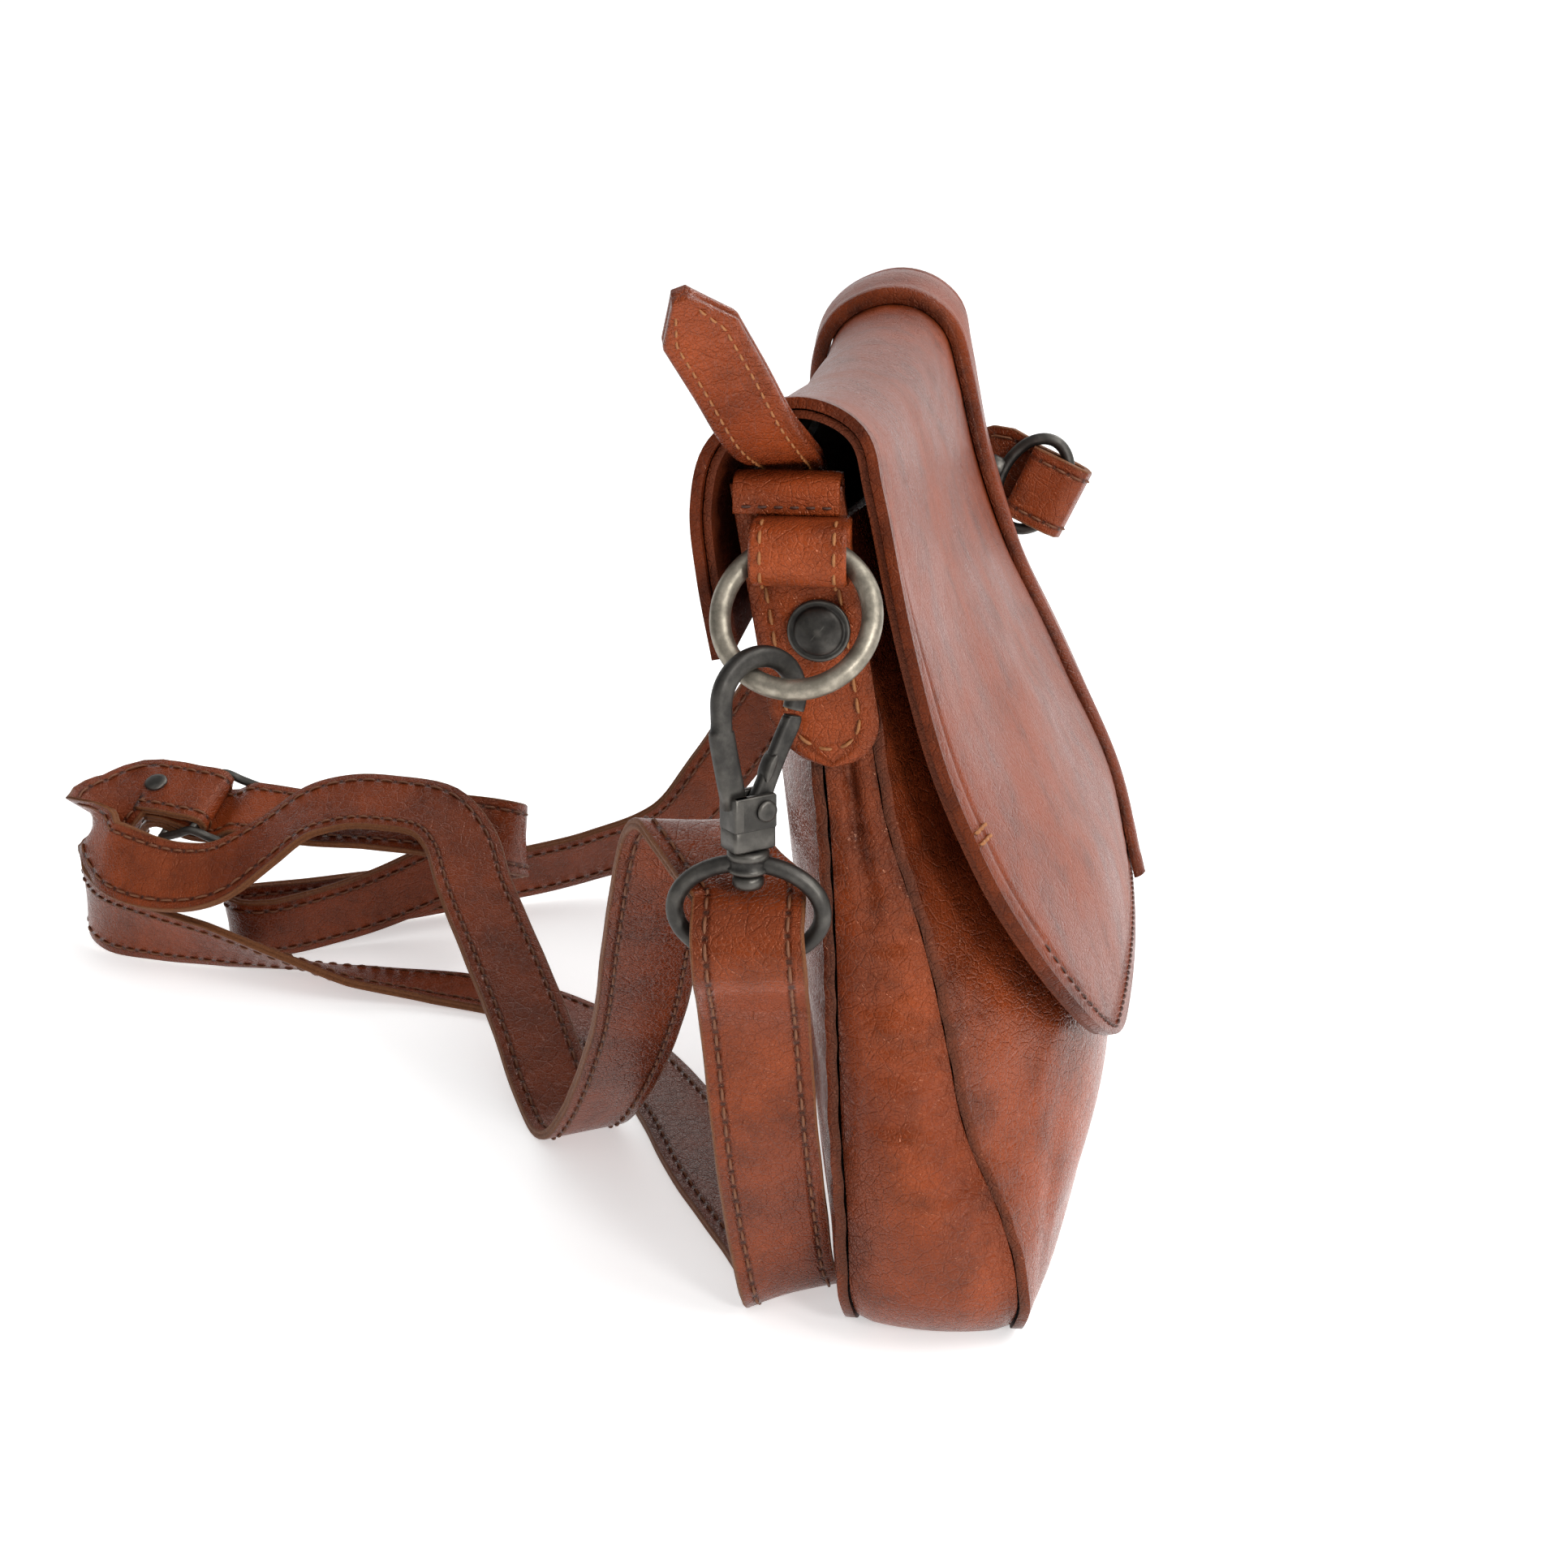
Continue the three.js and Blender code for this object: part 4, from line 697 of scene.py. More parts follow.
def make_materials(look):
    base = tuple(look.leather_colour)
    light = tuple(look.leather_light)
    dark = tuple(look.leather_dark)
    MATERIALS["leather"] = leather_material("cognac leather", base, light, dark, look.leather_roughness,
                                            inside=(0.05, 0.014, 0.007))
    MATERIALS["flap"] = leather_material("flap leather", base, tuple(c * 0.8 for c in light), dark,
                                         look.leather_roughness + 0.1, coat=0.03, gloss=0.22)
    MATERIALS["facing_leather"] = leather_material("facing leather", tuple(c * 0.62 for c in base),
                                                   tuple(c * 0.6 for c in light), dark, 0.6)
    MATERIALS["strap_leather"] = leather_material("strap leather", tuple(c * 0.8 for c in base),
                                                  tuple(c * 0.85 for c in light), dark,
                                                  look.leather_roughness, holes=(STRAP_WIDTH / 2 - 3.0) * MM,
                                                  pitch=look.stitch_pitch)
    MATERIALS["ring_metal"] = metal_material("antique ring metal", (0.13, 0.115, 0.09), (0.46, 0.41, 0.33),
                                             0.7)
    MATERIALS["clasp_metal"] = metal_material("dark clasp metal", (0.03, 0.028, 0.026), (0.14, 0.13, 0.115),
                                              0.4)
    MATERIALS["thread"] = thread_material("ochre thread", (0.42, 0.16, 0.04), (0.14, 0.04, 0.012))
    MATERIALS["strap_thread"] = thread_material("strap thread", (0.22, 0.075, 0.022), (0.07, 0.02, 0.008))
    MATERIALS["dark_thread"] = thread_material("brown thread", (0.09, 0.025, 0.01), (0.025, 0.008, 0.005))


def dress(piece, body, slot, *nodes, material=None):
    """Gives a piece the material named by material, or else by slot, puts it in the body, and hides the nodes
    it stands for.
    """
    piece.data.materials.append(MATERIALS[material or slot])
    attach(piece, body)
    if nodes:
        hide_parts(*nodes)
    return piece


# Body of the bag

def body_half_width(z):
    """Half width at a height: straight sides that round into the base with the corner radius."""
    into = np.maximum(BASE_CORNER_RADIUS - z, 0.0)
    return BAG_WIDTH / 2 - BASE_CORNER_RADIUS + np.sqrt(np.maximum(BASE_CORNER_RADIUS ** 2 - into ** 2, 0))


def panel_y(side, x, z):
    """Depth of a panel: seam depth plus a swell that falls off as 1 minus the share to the fourth."""
    share = np.clip(np.abs(x) / body_half_width(z), 0, 1)
    seam = BAG_DEPTH * table_value(BODY_ROWS, SEAM_COLUMN[side], z / BAG_HEIGHT)
    middle = BAG_DEPTH * table_value(BODY_ROWS, MIDDLE_COLUMN[side], z / BAG_HEIGHT)
    return seam + (middle - seam) * (1 - share ** PANEL_ROLL)


def seam_heights(corner_steps, side_steps):
    """Heights up the seam: radius times one minus cosine round the corner, then even steps."""
    corner = BASE_CORNER_RADIUS * (1 - np.cos(math.pi / 2 * np.arange(corner_steps + 1) / corner_steps))
    return np.concatenate([corner, np.linspace(BASE_CORNER_RADIUS, BAG_HEIGHT, side_steps + 1)[1:]])


def panel_folds(side, x, z):
    """Outward swell in millimetres: slow waves, puckers near the seams and slack folds."""
    half = body_half_width(z)
    to_seam = half - np.abs(x)
    inner = np.clip(to_seam / 16.0, 0, 1)
    waves = 0.9 * soft_noise(x, z, 95, SEED + (side == "back")) * inner
    pucker = 0.13 * np.sin(z * 0.62 + 0.9 * np.sin(z * 0.17)) * np.exp(-to_seam / 9.0) * np.clip(z / 20, 0, 1)
    slack = np.zeros_like(x)
    for centre_x, centre_z, tilt, length, width, depth in (
            (-84, 78, 0.9, 26, 4.5, -1.1), (-92, 62, 1.1, 20, 4.0, 0.8), (-60, 30, 0.25, 40, 6.0, -0.8),
            (30, 34, -0.2, 50, 7.0, -0.9), (85, 60, -1.0, 28, 5.0, -1.0), (-100, 28, 1.2, 18, 3.0, -0.7)):
        u = (x - centre_x) * math.cos(tilt) + (z - centre_z) * math.sin(tilt)
        v = -(x - centre_x) * math.sin(tilt) + (z - centre_z) * math.cos(tilt)
        slack += depth * bump(u, 0, length) * bump(v, 0, width)
    low = np.clip(z / 8, 0, 1)
    return (waves + slack * inner) * low + pucker


def build_panel(side):
    """Wall over height and sine share across: depth from the wall tables plus the folds."""
    heights = seam_heights(16, 110)
    share = np.sin(math.pi / 2 * np.linspace(-1, 1, 171))
    z = np.repeat(heights[:, None], len(share), 1)
    x = body_half_width(z) * share[None, :]
    outward = -1.0 if side == "front" else 1.0
    swell = np.minimum(panel_folds(side, x, z), 0.9)
    y = panel_y(side, x, z) + outward * swell
    outer = np.stack([x, y, z + SEAM_LIFT], -1)
    inner = outer - vec(0, outward * BODY_WALL, 0)
    # burnished edges: darker at the seams and along the base edge
    edge = np.exp(-(body_half_width(z) - np.abs(x)) / 3.0) + np.exp(-z / 4.0)
    # random tone, plus painted shade that darkens the panel towards the top
    tone_and_shade = 0.35 * np.clip(soft_noise(x, z, 70, SEED + 21), 0, 1) + 0.45 * np.clip((z - 95) / 60, 0, 1)
    # a darker patch round the dent near the near end
    tint = 0.6 * edge + 0.28 * bump(x, -78, 16) * bump(z, 72, 20) + tone_and_shade
    piece = wall_piece(side + "_panel_leather", outer, inner, {"burnish_and_shade": np.clip(tint, 0, 1)}, 0.7)
    dress(piece, BAG, "leather", side + "_panel")


def build_gusset(creases, crease_depth):
    """Strip round the sides and base: a line at the half width, swollen as one minus w squared across it.

    Each crease is a bell across the height times a bell across the width, at a seeded place.
    """
    heights = seam_heights(14, 110)
    flat = body_half_width(np.zeros(1))[0]
    base = flat * np.sin(math.pi / 2 * np.linspace(-1, 1, 81))[1:-1]
    line_x = np.concatenate([-body_half_width(heights[::-1]), base, body_half_width(heights)])
    line_z = np.concatenate([heights[::-1], np.zeros(len(base)), heights])
    w = np.sin(math.pi / 2 * np.linspace(-1, 1, 33))
    x, across = np.meshgrid(line_x, w, indexing="ij")
    z = np.repeat(line_z[:, None], len(w), 1)
    front = panel_y("front", x, z) + BODY_WALL + SEAM_GAP
    back = panel_y("back", x, z) - BODY_WALL - SEAM_GAP
    y = front + (back - front) * (across + 1) / 2
    height = z / BAG_HEIGHT
    side = np.where(np.abs(x) > flat, np.sign(x), 0.0)
    swell = GUSSET_BULGE * (1 - across ** 2) * np.exp(-((height - 0.22) / 0.2) ** 2)
    wrinkle = 0.9 * soft_noise(y, z, 60, SEED + 3) * np.clip(z / 30, 0, 1) * (1 - across ** 2)
    rng = np.random.default_rng(SEED + 11)
    for _ in range(creases):
        level = rng.normal(86, 24)
        place = rng.uniform(-0.5, 0.5)
        bend = level + 3.0 * rng.uniform(-1, 1) * across + 2.5 * across ** 2
        depth = crease_depth * rng.uniform(0.4, 1.0)
        wrinkle -= depth * bump(z, bend, rng.uniform(0.7, 1.3)) * bump(across, place,
                                                                       rng.uniform(0.25, 0.5))
    fold = -1.6 * bump(across, 0.05, 0.28) * np.clip((z - 88) / 30, 0, 1)
    pucker = 0.1 * np.sin(z * 0.7) * (np.abs(across) ** 4) * np.clip(z / 20, 0, 1)
    lift = SEAM_LIFT * np.clip((np.abs(across) - 0.8) * 5, 0, 1)
    bend = np.clip(z / BASE_CORNER_RADIUS, 0, 1)
    rise = lift + np.minimum(z, SEAM_LIFT)
    out = swell + np.minimum(wrinkle + fold + pucker, 1.2)
    outer = np.stack([x + side * out, y, z + rise], -1)
    inner = outer + np.stack([-side * bend * BODY_WALL, np.zeros_like(x), (1 - bend) * BODY_WALL], -1)
    # the seam edges darken as burnished edges; painted shade darkens the top under the flap and the base next
    # to the floor
    tint = 0.5 * np.abs(across) ** 8 + 0.5 * np.clip((z - 70) / 60, 0, 1) + 0.4 * np.exp(-z / 9)
    # painted shade in the central fold at the top
    folded = 0.35 * bump(across, 0.05, 0.3) * np.clip((z - 60) / 50, 0, 1)
    tint += 0.3 * np.clip(soft_noise(y, z, 45, SEED + 22), 0, 1) + folded
    piece = wall_piece("gusset_leather", outer, inner, {"burnish_and_shade": np.clip(tint, 0, 1)}, 0.5)
    dress(piece, BAG, "leather", "gusset")


# Flap

def mid_path():
    """Middle line of the flap's underside: up the back panel, over the mouth and down the front panel."""
    lift = BODY_WALL + CLEARANCE
    back = []
    for share in (0, 0.5, 1):
        z = FLAP_BACK_HEIGHT + (BAG_HEIGHT - FLAP_BACK_HEIGHT) * share
        back.append((0, float(BAG_DEPTH * table_value(BODY_ROWS, 4, z / BAG_HEIGHT)) + 2 * CLEARANCE,
                     z + SEAM_LIFT))
    crown_y = BAG_DEPTH * 0.37
    crown_z = FLAP_HEIGHT - FLAP_SAG
    front = []
    for share in (0, 0.2, 0.4, 0.6, 0.8, 1):
        z = BAG_HEIGHT + (FLAP_END_HEIGHT - BAG_HEIGHT) * share
        front.append((0, float(BAG_DEPTH * table_value(BODY_ROWS, 3, z / BAG_HEIGHT)) - lift * 0.6, z))
    shoulders = [(0, p[1] + (crown_y - p[1]) * 0.35,
                  p[2] + (crown_z - p[2]) * 0.75) for p in (back[2], front[0])]
    return back + [shoulders[0], (0, crown_y, crown_z), shoulders[1]] + front


FLAP_SAMPLES = 600
flap_mid = even_path(mid_path(), FLAP_SAMPLES)
flap_edge = even_path([(0, d * BAG_DEPTH, h * FLAP_HEIGHT) for d, h in FLAP_EDGE_ROWS], FLAP_SAMPLES)
FLAP_LENGTH = float(np.linalg.norm(np.diff(flap_mid, axis=0), axis=1).sum())


def flap_half_width(along):
    """Half width at a share along: the full one, less a quarter circle at the front corner."""
    into = np.maximum(FLAP_CORNER_RADIUS - (1 - along) * FLAP_LENGTH, 0)
    corner = FLAP_CORNER_RADIUS - np.sqrt(np.maximum(FLAP_CORNER_RADIUS ** 2 - into ** 2, 0))
    return FLAP_WIDTH / 2 - corner


def flap_surface(x, along):
    """Underside of the flap: middle and edge curves blended by the place across to the power 2.2."""
    at = np.linspace(0, 1, FLAP_SAMPLES)
    blend = np.clip(np.abs(x) / (FLAP_WIDTH / 2), 0, 1) ** 2.2
    mid_y = np.interp(along, at, flap_mid[:, 1])
    mid_z = np.interp(along, at, flap_mid[:, 2])
    edge_y = np.interp(along, at, flap_edge[:, 1])
    edge_z = np.interp(along, at, flap_edge[:, 2])
    return np.stack([x, mid_y + (edge_y - mid_y) * blend, mid_z + (edge_z - mid_z) * blend], -1)


def flap_shares(steps, corner_steps):
    """Shares along the flap: even to the corner, then one minus one minus sine, so they crowd at its end."""
    start = 1 - FLAP_CORNER_RADIUS / FLAP_LENGTH
    corner = 1 - (1 - start) * (1 - np.sin(math.pi / 2 * np.arange(corner_steps + 1) / corner_steps))
    return np.concatenate([start * np.arange(steps) / steps, corner])


def flap_grid(inset, steps=120, corner_steps=30, columns=180):
    """Grid over share along and sine share across, each point taken from the flap surface."""
    share = flap_shares(steps, corner_steps) * (1 - inset / FLAP_LENGTH)
    along = np.repeat(share[:, None], columns + 1, 1)
    across = np.sin(math.pi / 2 * np.linspace(-1, 1, columns + 1))[None, :] * np.ones_like(along)
    x = (flap_half_width(along) - inset) * across
    return flap_surface(x, along), x, along


def edge_distance(x, along):
    """Distance in millimetres from a place on the flap to its free edge, at the sides or at the front."""
    side = flap_half_width(along) - np.abs(x)
    end = (1 - along) * FLAP_LENGTH
    return np.minimum(side, end)


def flap_relief(x, along):
    """Outward height on the flap: soft waves, a crease inside the rim and edge puckers."""
    distance = edge_distance(x, along)
    waves = 0.7 * soft_noise(x, along * FLAP_LENGTH, 80, SEED + 5) * np.clip(distance / 15, 0, 1)
    crease = -0.45 * bump(distance, 6.0, 0.9) + 0.25 * bump(distance, 3.2, 1.8)
    ripple = 0.16 * np.sin(x * 2.1) * bump(distance, 9.0, 4.0) * np.clip((along - 0.8) * 8, 0, 1)
    cross = 0.22 * np.sin(along * FLAP_LENGTH * 0.9 + x * 0.12) * bump(along, 0.3, 0.1) * bump(x, 30, 60)
    return waves + crease + ripple + cross


def build_flap():
    """Facing and flap: the flap surface moved along its normal by the wall, plus the relief on the top."""
    under, x, along = flap_grid(FACING_INSET, columns=120)
    normal = -grid_normals(under)
    top = under + normal * FACING_WALL
    distance = edge_distance(x, along)
    facing = wall_piece("flap_facing_leather", top, under, {"burnish_and_shade": np.clip(0.4 * np.exp(-distance / 4),
                                                                               0, 1)}, 0.35)
    dress(facing, BAG, "facing_leather", "flap_facing")
    under, x, along = flap_grid(0.0)
    normal = -grid_normals(under)
    low = under + normal * (FACING_WALL + CLEARANCE)
    wall = FLAP_WALL + np.clip(flap_relief(x, along), -0.8, 1.0)
    distance = edge_distance(x, along)
    keep = np.clip((wave_seam_x(along) + 2.0 - x) / 4.0, 0, 1)
    wall = FLAP_WALL * (1 - keep) + wall * keep
    high = low + normal * wall[..., None]
    # the rim darkens as a burnished edge; painted shade darkens the crease 6 mm in from the rim
    tint = 0.75 * np.exp(-distance / 2.2) + 0.35 * bump(distance, 6.0, 0.8)
    # painted shade: a dark strip at the foot of the raised wave panel's edge
    tint += 0.5 * bump(x, wave_seam_x(along) - 1.0, 1.6)
    piece = wall_piece("flap_leather", high, low, {"burnish_and_shade": np.clip(tint, 0, 1)}, 0.6)
    dress(piece, BAG, "leather", "flap", material="flap")


def wave_seam_x(along):
    """Place across of the wavy seam at a share along: flap width times the table value."""
    return FLAP_WIDTH * table_value(WAVE_ROWS, 1, along)


def wave_heights(along, spread):
    """Height of the wave panel's underside and top above the flap: a crown that fades down the front."""
    crown = np.exp(-((along - 0.28) / 0.3) ** 2)
    roll = np.sin(math.pi * np.clip(0.08 + spread * 0.9, 0, 1)) ** 0.7
    return WAVE_SHOWN * WAVE_RISE * crown * roll


def build_wave_panel():
    """Overlaid panel: the flap surface from the seam to the edge, raised along its normal."""
    share = flap_shares(120, 30)
    spread = np.concatenate([[0, 0.012, 0.03, 0.055], np.linspace(0.08, 1, 60)])
    along, across = np.meshgrid(share, spread, indexing="ij")
    start = np.minimum(wave_seam_x(along), flap_half_width(along) - WAVE_ROLL)
    x = start + (flap_half_width(along) - start) * across
    under = flap_surface(x, along)
    normal = -grid_normals(under)
    base = FACING_WALL + FLAP_WALL + 2 * CLEARANCE
    rise = wave_heights(along, across)
    rolled = np.clip(across / 0.05, 0, 1)
    low = base + rise * np.clip((across - 0.1) / 0.1, 0, 1) * np.clip((1 - across) / 0.06, 0, 1)
    to_seam = x - start
    ridge = 0.5 * bump(to_seam, 3.0, 2.6)
    relief = flap_relief(x, along) * np.clip(to_seam / 12, 0, 1)
    top = base + (WAVE_WALL + rise + ridge) * (0.35 + 0.65 * np.sqrt(rolled)) + np.clip(relief, -0.6, 0.8)
    top = np.maximum(top, low + 0.6)
    high = under + normal * top[..., None]
    lower = under + normal * low[..., None]
    distance = edge_distance(x, along)
    tint = 1.0 * np.exp(-to_seam / 1.3) + 0.6 * np.exp(-distance / 2.0)
    piece = wall_piece("flap_wave_leather", high, lower, {"burnish_and_shade": np.clip(tint, 0, 1)}, 0.45)
    dress(piece, BAG, "leather", "flap_wave_panel", material="flap")


def flap_top_line(x, along, extra=0.0):
    """Points and normals on top of the plain flap along a line given by places across and shares along."""
    step = 0.002
    point = flap_surface(x, along)
    ahead = flap_surface(x, np.clip(along + step, 0, 1)) - flap_surface(x, np.clip(along - step, 0, 1))
    beside = flap_surface(x + 0.5, along) - flap_surface(x - 0.5, along)
    normal = unit(np.cross(ahead, beside))
    # the crown's own depth and a height inside the bag stand for its middle, which every normal faces away from
    from_middle = point[:, 1:] - np.array([BAG_DEPTH * 0.37, 150])
    facing_in = np.sum(normal[:, 1:] * from_middle, -1, keepdims=True) < 0
    normal = np.where(facing_in, -normal, normal)
    return point + normal * (FACING_WALL + CLEARANCE + FLAP_WALL + extra), normal


def build_flap_stitches():
    """Stitches at a fixed inset round the near front corner and along the front rim, with two bar tacks."""
    inset = 4.2
    front = 1 - inset / FLAP_LENGTH
    round_corner = 1 - (FLAP_CORNER_RADIUS / FLAP_LENGTH) * (1 - np.sin(np.linspace(0.35, math.pi / 2, 120)))
    along_corner = np.minimum(round_corner, front)
    x_corner = -(flap_half_width(along_corner) - inset)
    x_front = np.linspace(x_corner[-1], float(wave_seam_x(np.array(1.0))) - 3, 200)[1:]
    x = np.concatenate([x_corner, x_front])
    along = np.concatenate([along_corner, np.full(len(x_front), front)])
    path, normal = flap_top_line(x, along, 0.15)
    dress(stitch_row("flap_edge_stitches", path, normal, 3.4, 2.5, 0.26), BAG, "leather",
          material="dark_thread")
    tack_at = 0.705
    for k, shift in enumerate((-0.006, 0.006)):
        along = np.full(12, tack_at + shift)
        x = -np.linspace(flap_half_width(along)[0] - 0.2, flap_half_width(along)[0] - 8.0, 12)
        path, normal = flap_top_line(x, along, 0.3)
        dress(stitch_row(f"flap_bar_tack_{k + 1}", path, normal, 2.0, 2.1, 0.42), BAG, "leather",
              material="thread")


# Side tabs, caps, loops, rings and studs

TAB_INNER = BAG_WIDTH / 2 + CLEARANCE + 1
TAB_FACE = TAB_INNER + TAB_WALL


def tab_y(z):
    """Depth of the tab: a straight line from its top place to its tip place."""
    return TAB_TOP_Y + (TAB_TIP_Y - TAB_TOP_Y) * (TAB_TOP - z) / TAB_LENGTH


RING_CENTRE = vec(TAB_FACE + RING_OUT, tab_y(TAB_TOP - RING_BELOW_TOP), TAB_TOP - RING_BELOW_TOP)


def ring_up(side):
    """Unit direction up the ring, tilted towards the bag."""
    return vec(-side * math.sin(RING_TILT), 0, math.cos(RING_TILT))


def tab_half_width(z):
    """Half width of the tab: half its width, then the circle of its rounded tip."""
    into = np.maximum(TAB_TOP - TAB_LENGTH + TAB_WIDTH / 2 - z, 0)
    return np.sqrt(np.maximum((TAB_WIDTH / 2) ** 2 - into ** 2, 0))


def build_tab(side, label):
    """Tab over height and share across: a face bowed by share squared, with a rim and a groove."""
    turn = TAB_TOP - TAB_LENGTH + TAB_WIDTH / 2
    heights = np.concatenate([np.linspace(TAB_TOP, turn, 40)[:-1],
                              turn - TAB_WIDTH / 2 * np.sin(math.pi / 2 * np.linspace(0, 0.985, 24))])
    w = np.linspace(-1, 1, 31)
    z, across = np.meshgrid(heights, w, indexing="ij")
    y = tab_y(z) + across * tab_half_width(z)
    crown = -0.8 * across ** 2
    distance = tab_half_width(z) * (1 - np.abs(across))
    relief = 0.3 * bump(distance, 2.0, 1.2) - 0.35 * bump(distance, 4.2, 0.7)
    outer = np.stack([side * (TAB_FACE + crown + np.clip(relief, -0.4, 0.2)), y, z], -1)
    inner = np.stack([side * (TAB_INNER + crown), y, z], -1)
    # the rim darkens as a burnished edge; painted shade darkens the groove 4.2 mm in
    tint = 0.7 * np.exp(-distance / 1.2) + 0.3 * bump(distance, 4.2, 0.8)
    dress(wall_piece(f"side_tab_leather_{label}", outer, inner, {"burnish_and_shade": np.clip(tint, 0, 1)}, 0.5), BAG,
          "leather",
          f"side_tab_{label}")
    inset = 3.6
    down = np.linspace(TAB_TOP - 2, turn, 30)
    arc = np.linspace(0, math.pi, 40)
    bend = TAB_WIDTH / 2 - inset
    z_tip = turn - bend * np.sin(arc)
    y_tip = tab_y(z_tip) + bend * np.cos(arc)
    y_line = np.concatenate([tab_y(down) + bend, y_tip, tab_y(down[::-1]) - bend])
    z_line = np.concatenate([down, z_tip, down[::-1]])
    path = np.stack([np.full_like(z_line, side * (TAB_FACE - 0.25)), y_line, z_line], -1)
    normals = np.tile(vec(side, 0, 0), (len(path), 1))
    dress(stitch_row(f"side_tab_stitches_{label}", path, normals, 4.2, 3.0, 0.36), BAG, "leather",
          material="thread")


def band_loops(path, across_dir, half_length, half_wall, power=0.3, count=28):
    """Rounded strip sections along a path in XZ, each a superellipse across Y."""
    ahead = unit(np.gradient(path, axis=0))
    out = np.stack([-ahead[:, 2], np.zeros(len(path)), ahead[:, 0]], -1)
    shape = superellipse(count, half_length, half_wall, power)
    return path[:, None] + shape[None, :, :1] * across_dir + shape[None, :, 1:] * out[:, None]


def build_cap(side, label):
    """Strip folded over the tab: a rounded section carried along a U-shaped path."""
    half = CAP_WALL / 2
    leg_out = TAB_FACE + CLEARANCE + half
    leg_in = BAG_WIDTH / 2 - BODY_WALL - CLEARANCE - half - 0.8
    top = TAB_TOP + CLEARANCE + half
    points = [(leg_out, TAB_TOP - CAP_DROP), (leg_out, top - 1.6), (leg_out - 1.4, top),
              (leg_in + 1.4, top),
              (leg_in, top - 1.6), (leg_in, BAG_HEIGHT + 2 * SEAM_LIFT + CLEARANCE)]
    rows = [vec(side * x, tab_y(TAB_TOP - 2), z) for x, z in points]
    path, _ = smooth_path(rows, 8)
    loops = band_loops(path, vec(0, 1, 0), CAP_LENGTH / 2, half)
    piece = loft_piece(f"side_cap_leather_{label}", [loft_mesh(loops)])
    dress(piece, BAG, "leather", f"side_cap_{label}")
    y = np.linspace(-CAP_LENGTH / 2 + 1, CAP_LENGTH / 2 - 1, 30)
    line = np.stack([np.full(30, side * (leg_out + half)), tab_y(TAB_TOP - 3) + y,
                     np.full(30, TAB_TOP - CAP_DROP + 1.4)], -1)
    normals = np.tile(vec(side, 0, 0), (30, 1))
    dress(stitch_row(f"side_cap_stitches_{label}", line, normals, 2.6, 1.9, 0.3, 0.05), BAG, "leather",
          material="dark_thread")


def build_ring_loop(side, label):
    """Leather roll round the ring: a D-shaped sleeve along Y, its inner outline clear of the ring's arc."""
    reach = LOOP_LENGTH / 2
    drop = RING_RADIUS - math.sqrt(RING_RADIUS ** 2 - reach ** 2)
    top_x = RING_CENTRE[0] - RING_RADIUS * math.sin(RING_TILT)
    top_z = RING_CENTRE[2] + RING_RADIUS * math.cos(RING_TILT)
    hole_half = (2 * RING_WIRE + drop * math.cos(RING_TILT)) / 2 + 3 * CLEARANCE
    middle = top_z - drop * math.cos(RING_TILT) / 2
    hole_back = TAB_FACE + CLEARANCE + LOOP_WALL
    hole_front = top_x + RING_WIRE + drop * math.sin(RING_TILT) + 5 * CLEARANCE
    bow = max(hole_front - hole_back - 2, 1)

    def outline(grow):
        angle = np.linspace(math.pi / 2, -math.pi / 2, 33)
        radius = hole_half + grow
        front_x = hole_back + 2 + (bow + grow) * np.abs(np.cos(angle)) ** 0.6
        front_z = middle + radius * np.sign(np.sin(angle)) * np.abs(np.sin(angle)) ** 0.6
        back_z = np.linspace(middle - radius, middle + radius, 16)
        back = np.stack([np.full(16, hole_back - grow), back_z], -1)
        return np.vstack([back, np.stack([front_x, front_z], -1)[1:-1]])

    rounding = np.array([[0.0, 0.75], [0.35, 0.95], [0.8, 1.0], [1.0, 1.0]])
    profile = []
    for end, row in [(-1, r) for r in rounding] + [(1, r) for r in rounding[::-1]]:
        profile.append((end * (reach - 0.8 * (1 - (1 - row[0]) ** 2)), row[1]))
    loops = []
    for y, swell in profile:
        points = outline(LOOP_WALL * swell)
        loops.append(np.stack([side * points[:, 0], np.full(len(points), RING_CENTRE[1] + y), points[:, 1]],
                              -1))
    hole = outline(0.0)
    for y in (reach - 0.4, 0, -reach + 0.4):
        loops.append(np.stack([side * hole[:, 0], np.full(len(hole), RING_CENTRE[1] + y), hole[:, 1]], -1))
    verts, faces = loft_mesh(loops, True)
    piece = new_mesh(f"ring_loop_leather_{label}", verts, face_outwards(verts, faces))
    dress(piece, BAG, "leather", f"ring_loop_{label}")
    for k, y in enumerate((-reach + 2.2, reach - 2.2)):
        front = outline(LOOP_WALL)[16:]
        path = np.stack([side * front[:, 0], np.full(len(front), RING_CENTRE[1] + y), front[:, 1]], -1)
        normals = path - vec(side * (hole_back + 1), RING_CENTRE[1] + y, middle)
        dress(stitch_row(f"ring_loop_stitches_{label}_{k + 1}", path, normals, 3.4, 2.5, 0.34), BAG,
              "leather",
              material="thread")


def build_ring(side, label):
    """Torus: a circle of the wire radius carried round a tilted circle of the ring radius."""
    centre = RING_CENTRE * vec(side, 1, 1)
    up = ring_up(side)
    normal = np.cross(vec(0, 1, 0), up)
    points = oval(centre, vec(0, 1, 0), up, RING_RADIUS, RING_RADIUS, 96)
    piece = loft_piece(f"ring_metal_{label}", [wire_mesh(points, RING_WIRE, normal, 20)])
    dress(piece, BAG, "ring_metal", f"ring_{label}")


def turned_mesh(centre, axis, across, profile, count=40):
    """Solid of revolution about an axis from radius and height pairs."""
    axis = unit(axis)
    across = unit(across - np.dot(across, axis) * axis)
    other = np.cross(axis, across)
    angle = (np.arange(count) / count * math.tau)[:, None]
    loops = [centre + h * axis + r * (np.cos(angle) * across + np.sin(angle) * other) for r, h in profile]
    return loft_mesh(loops)


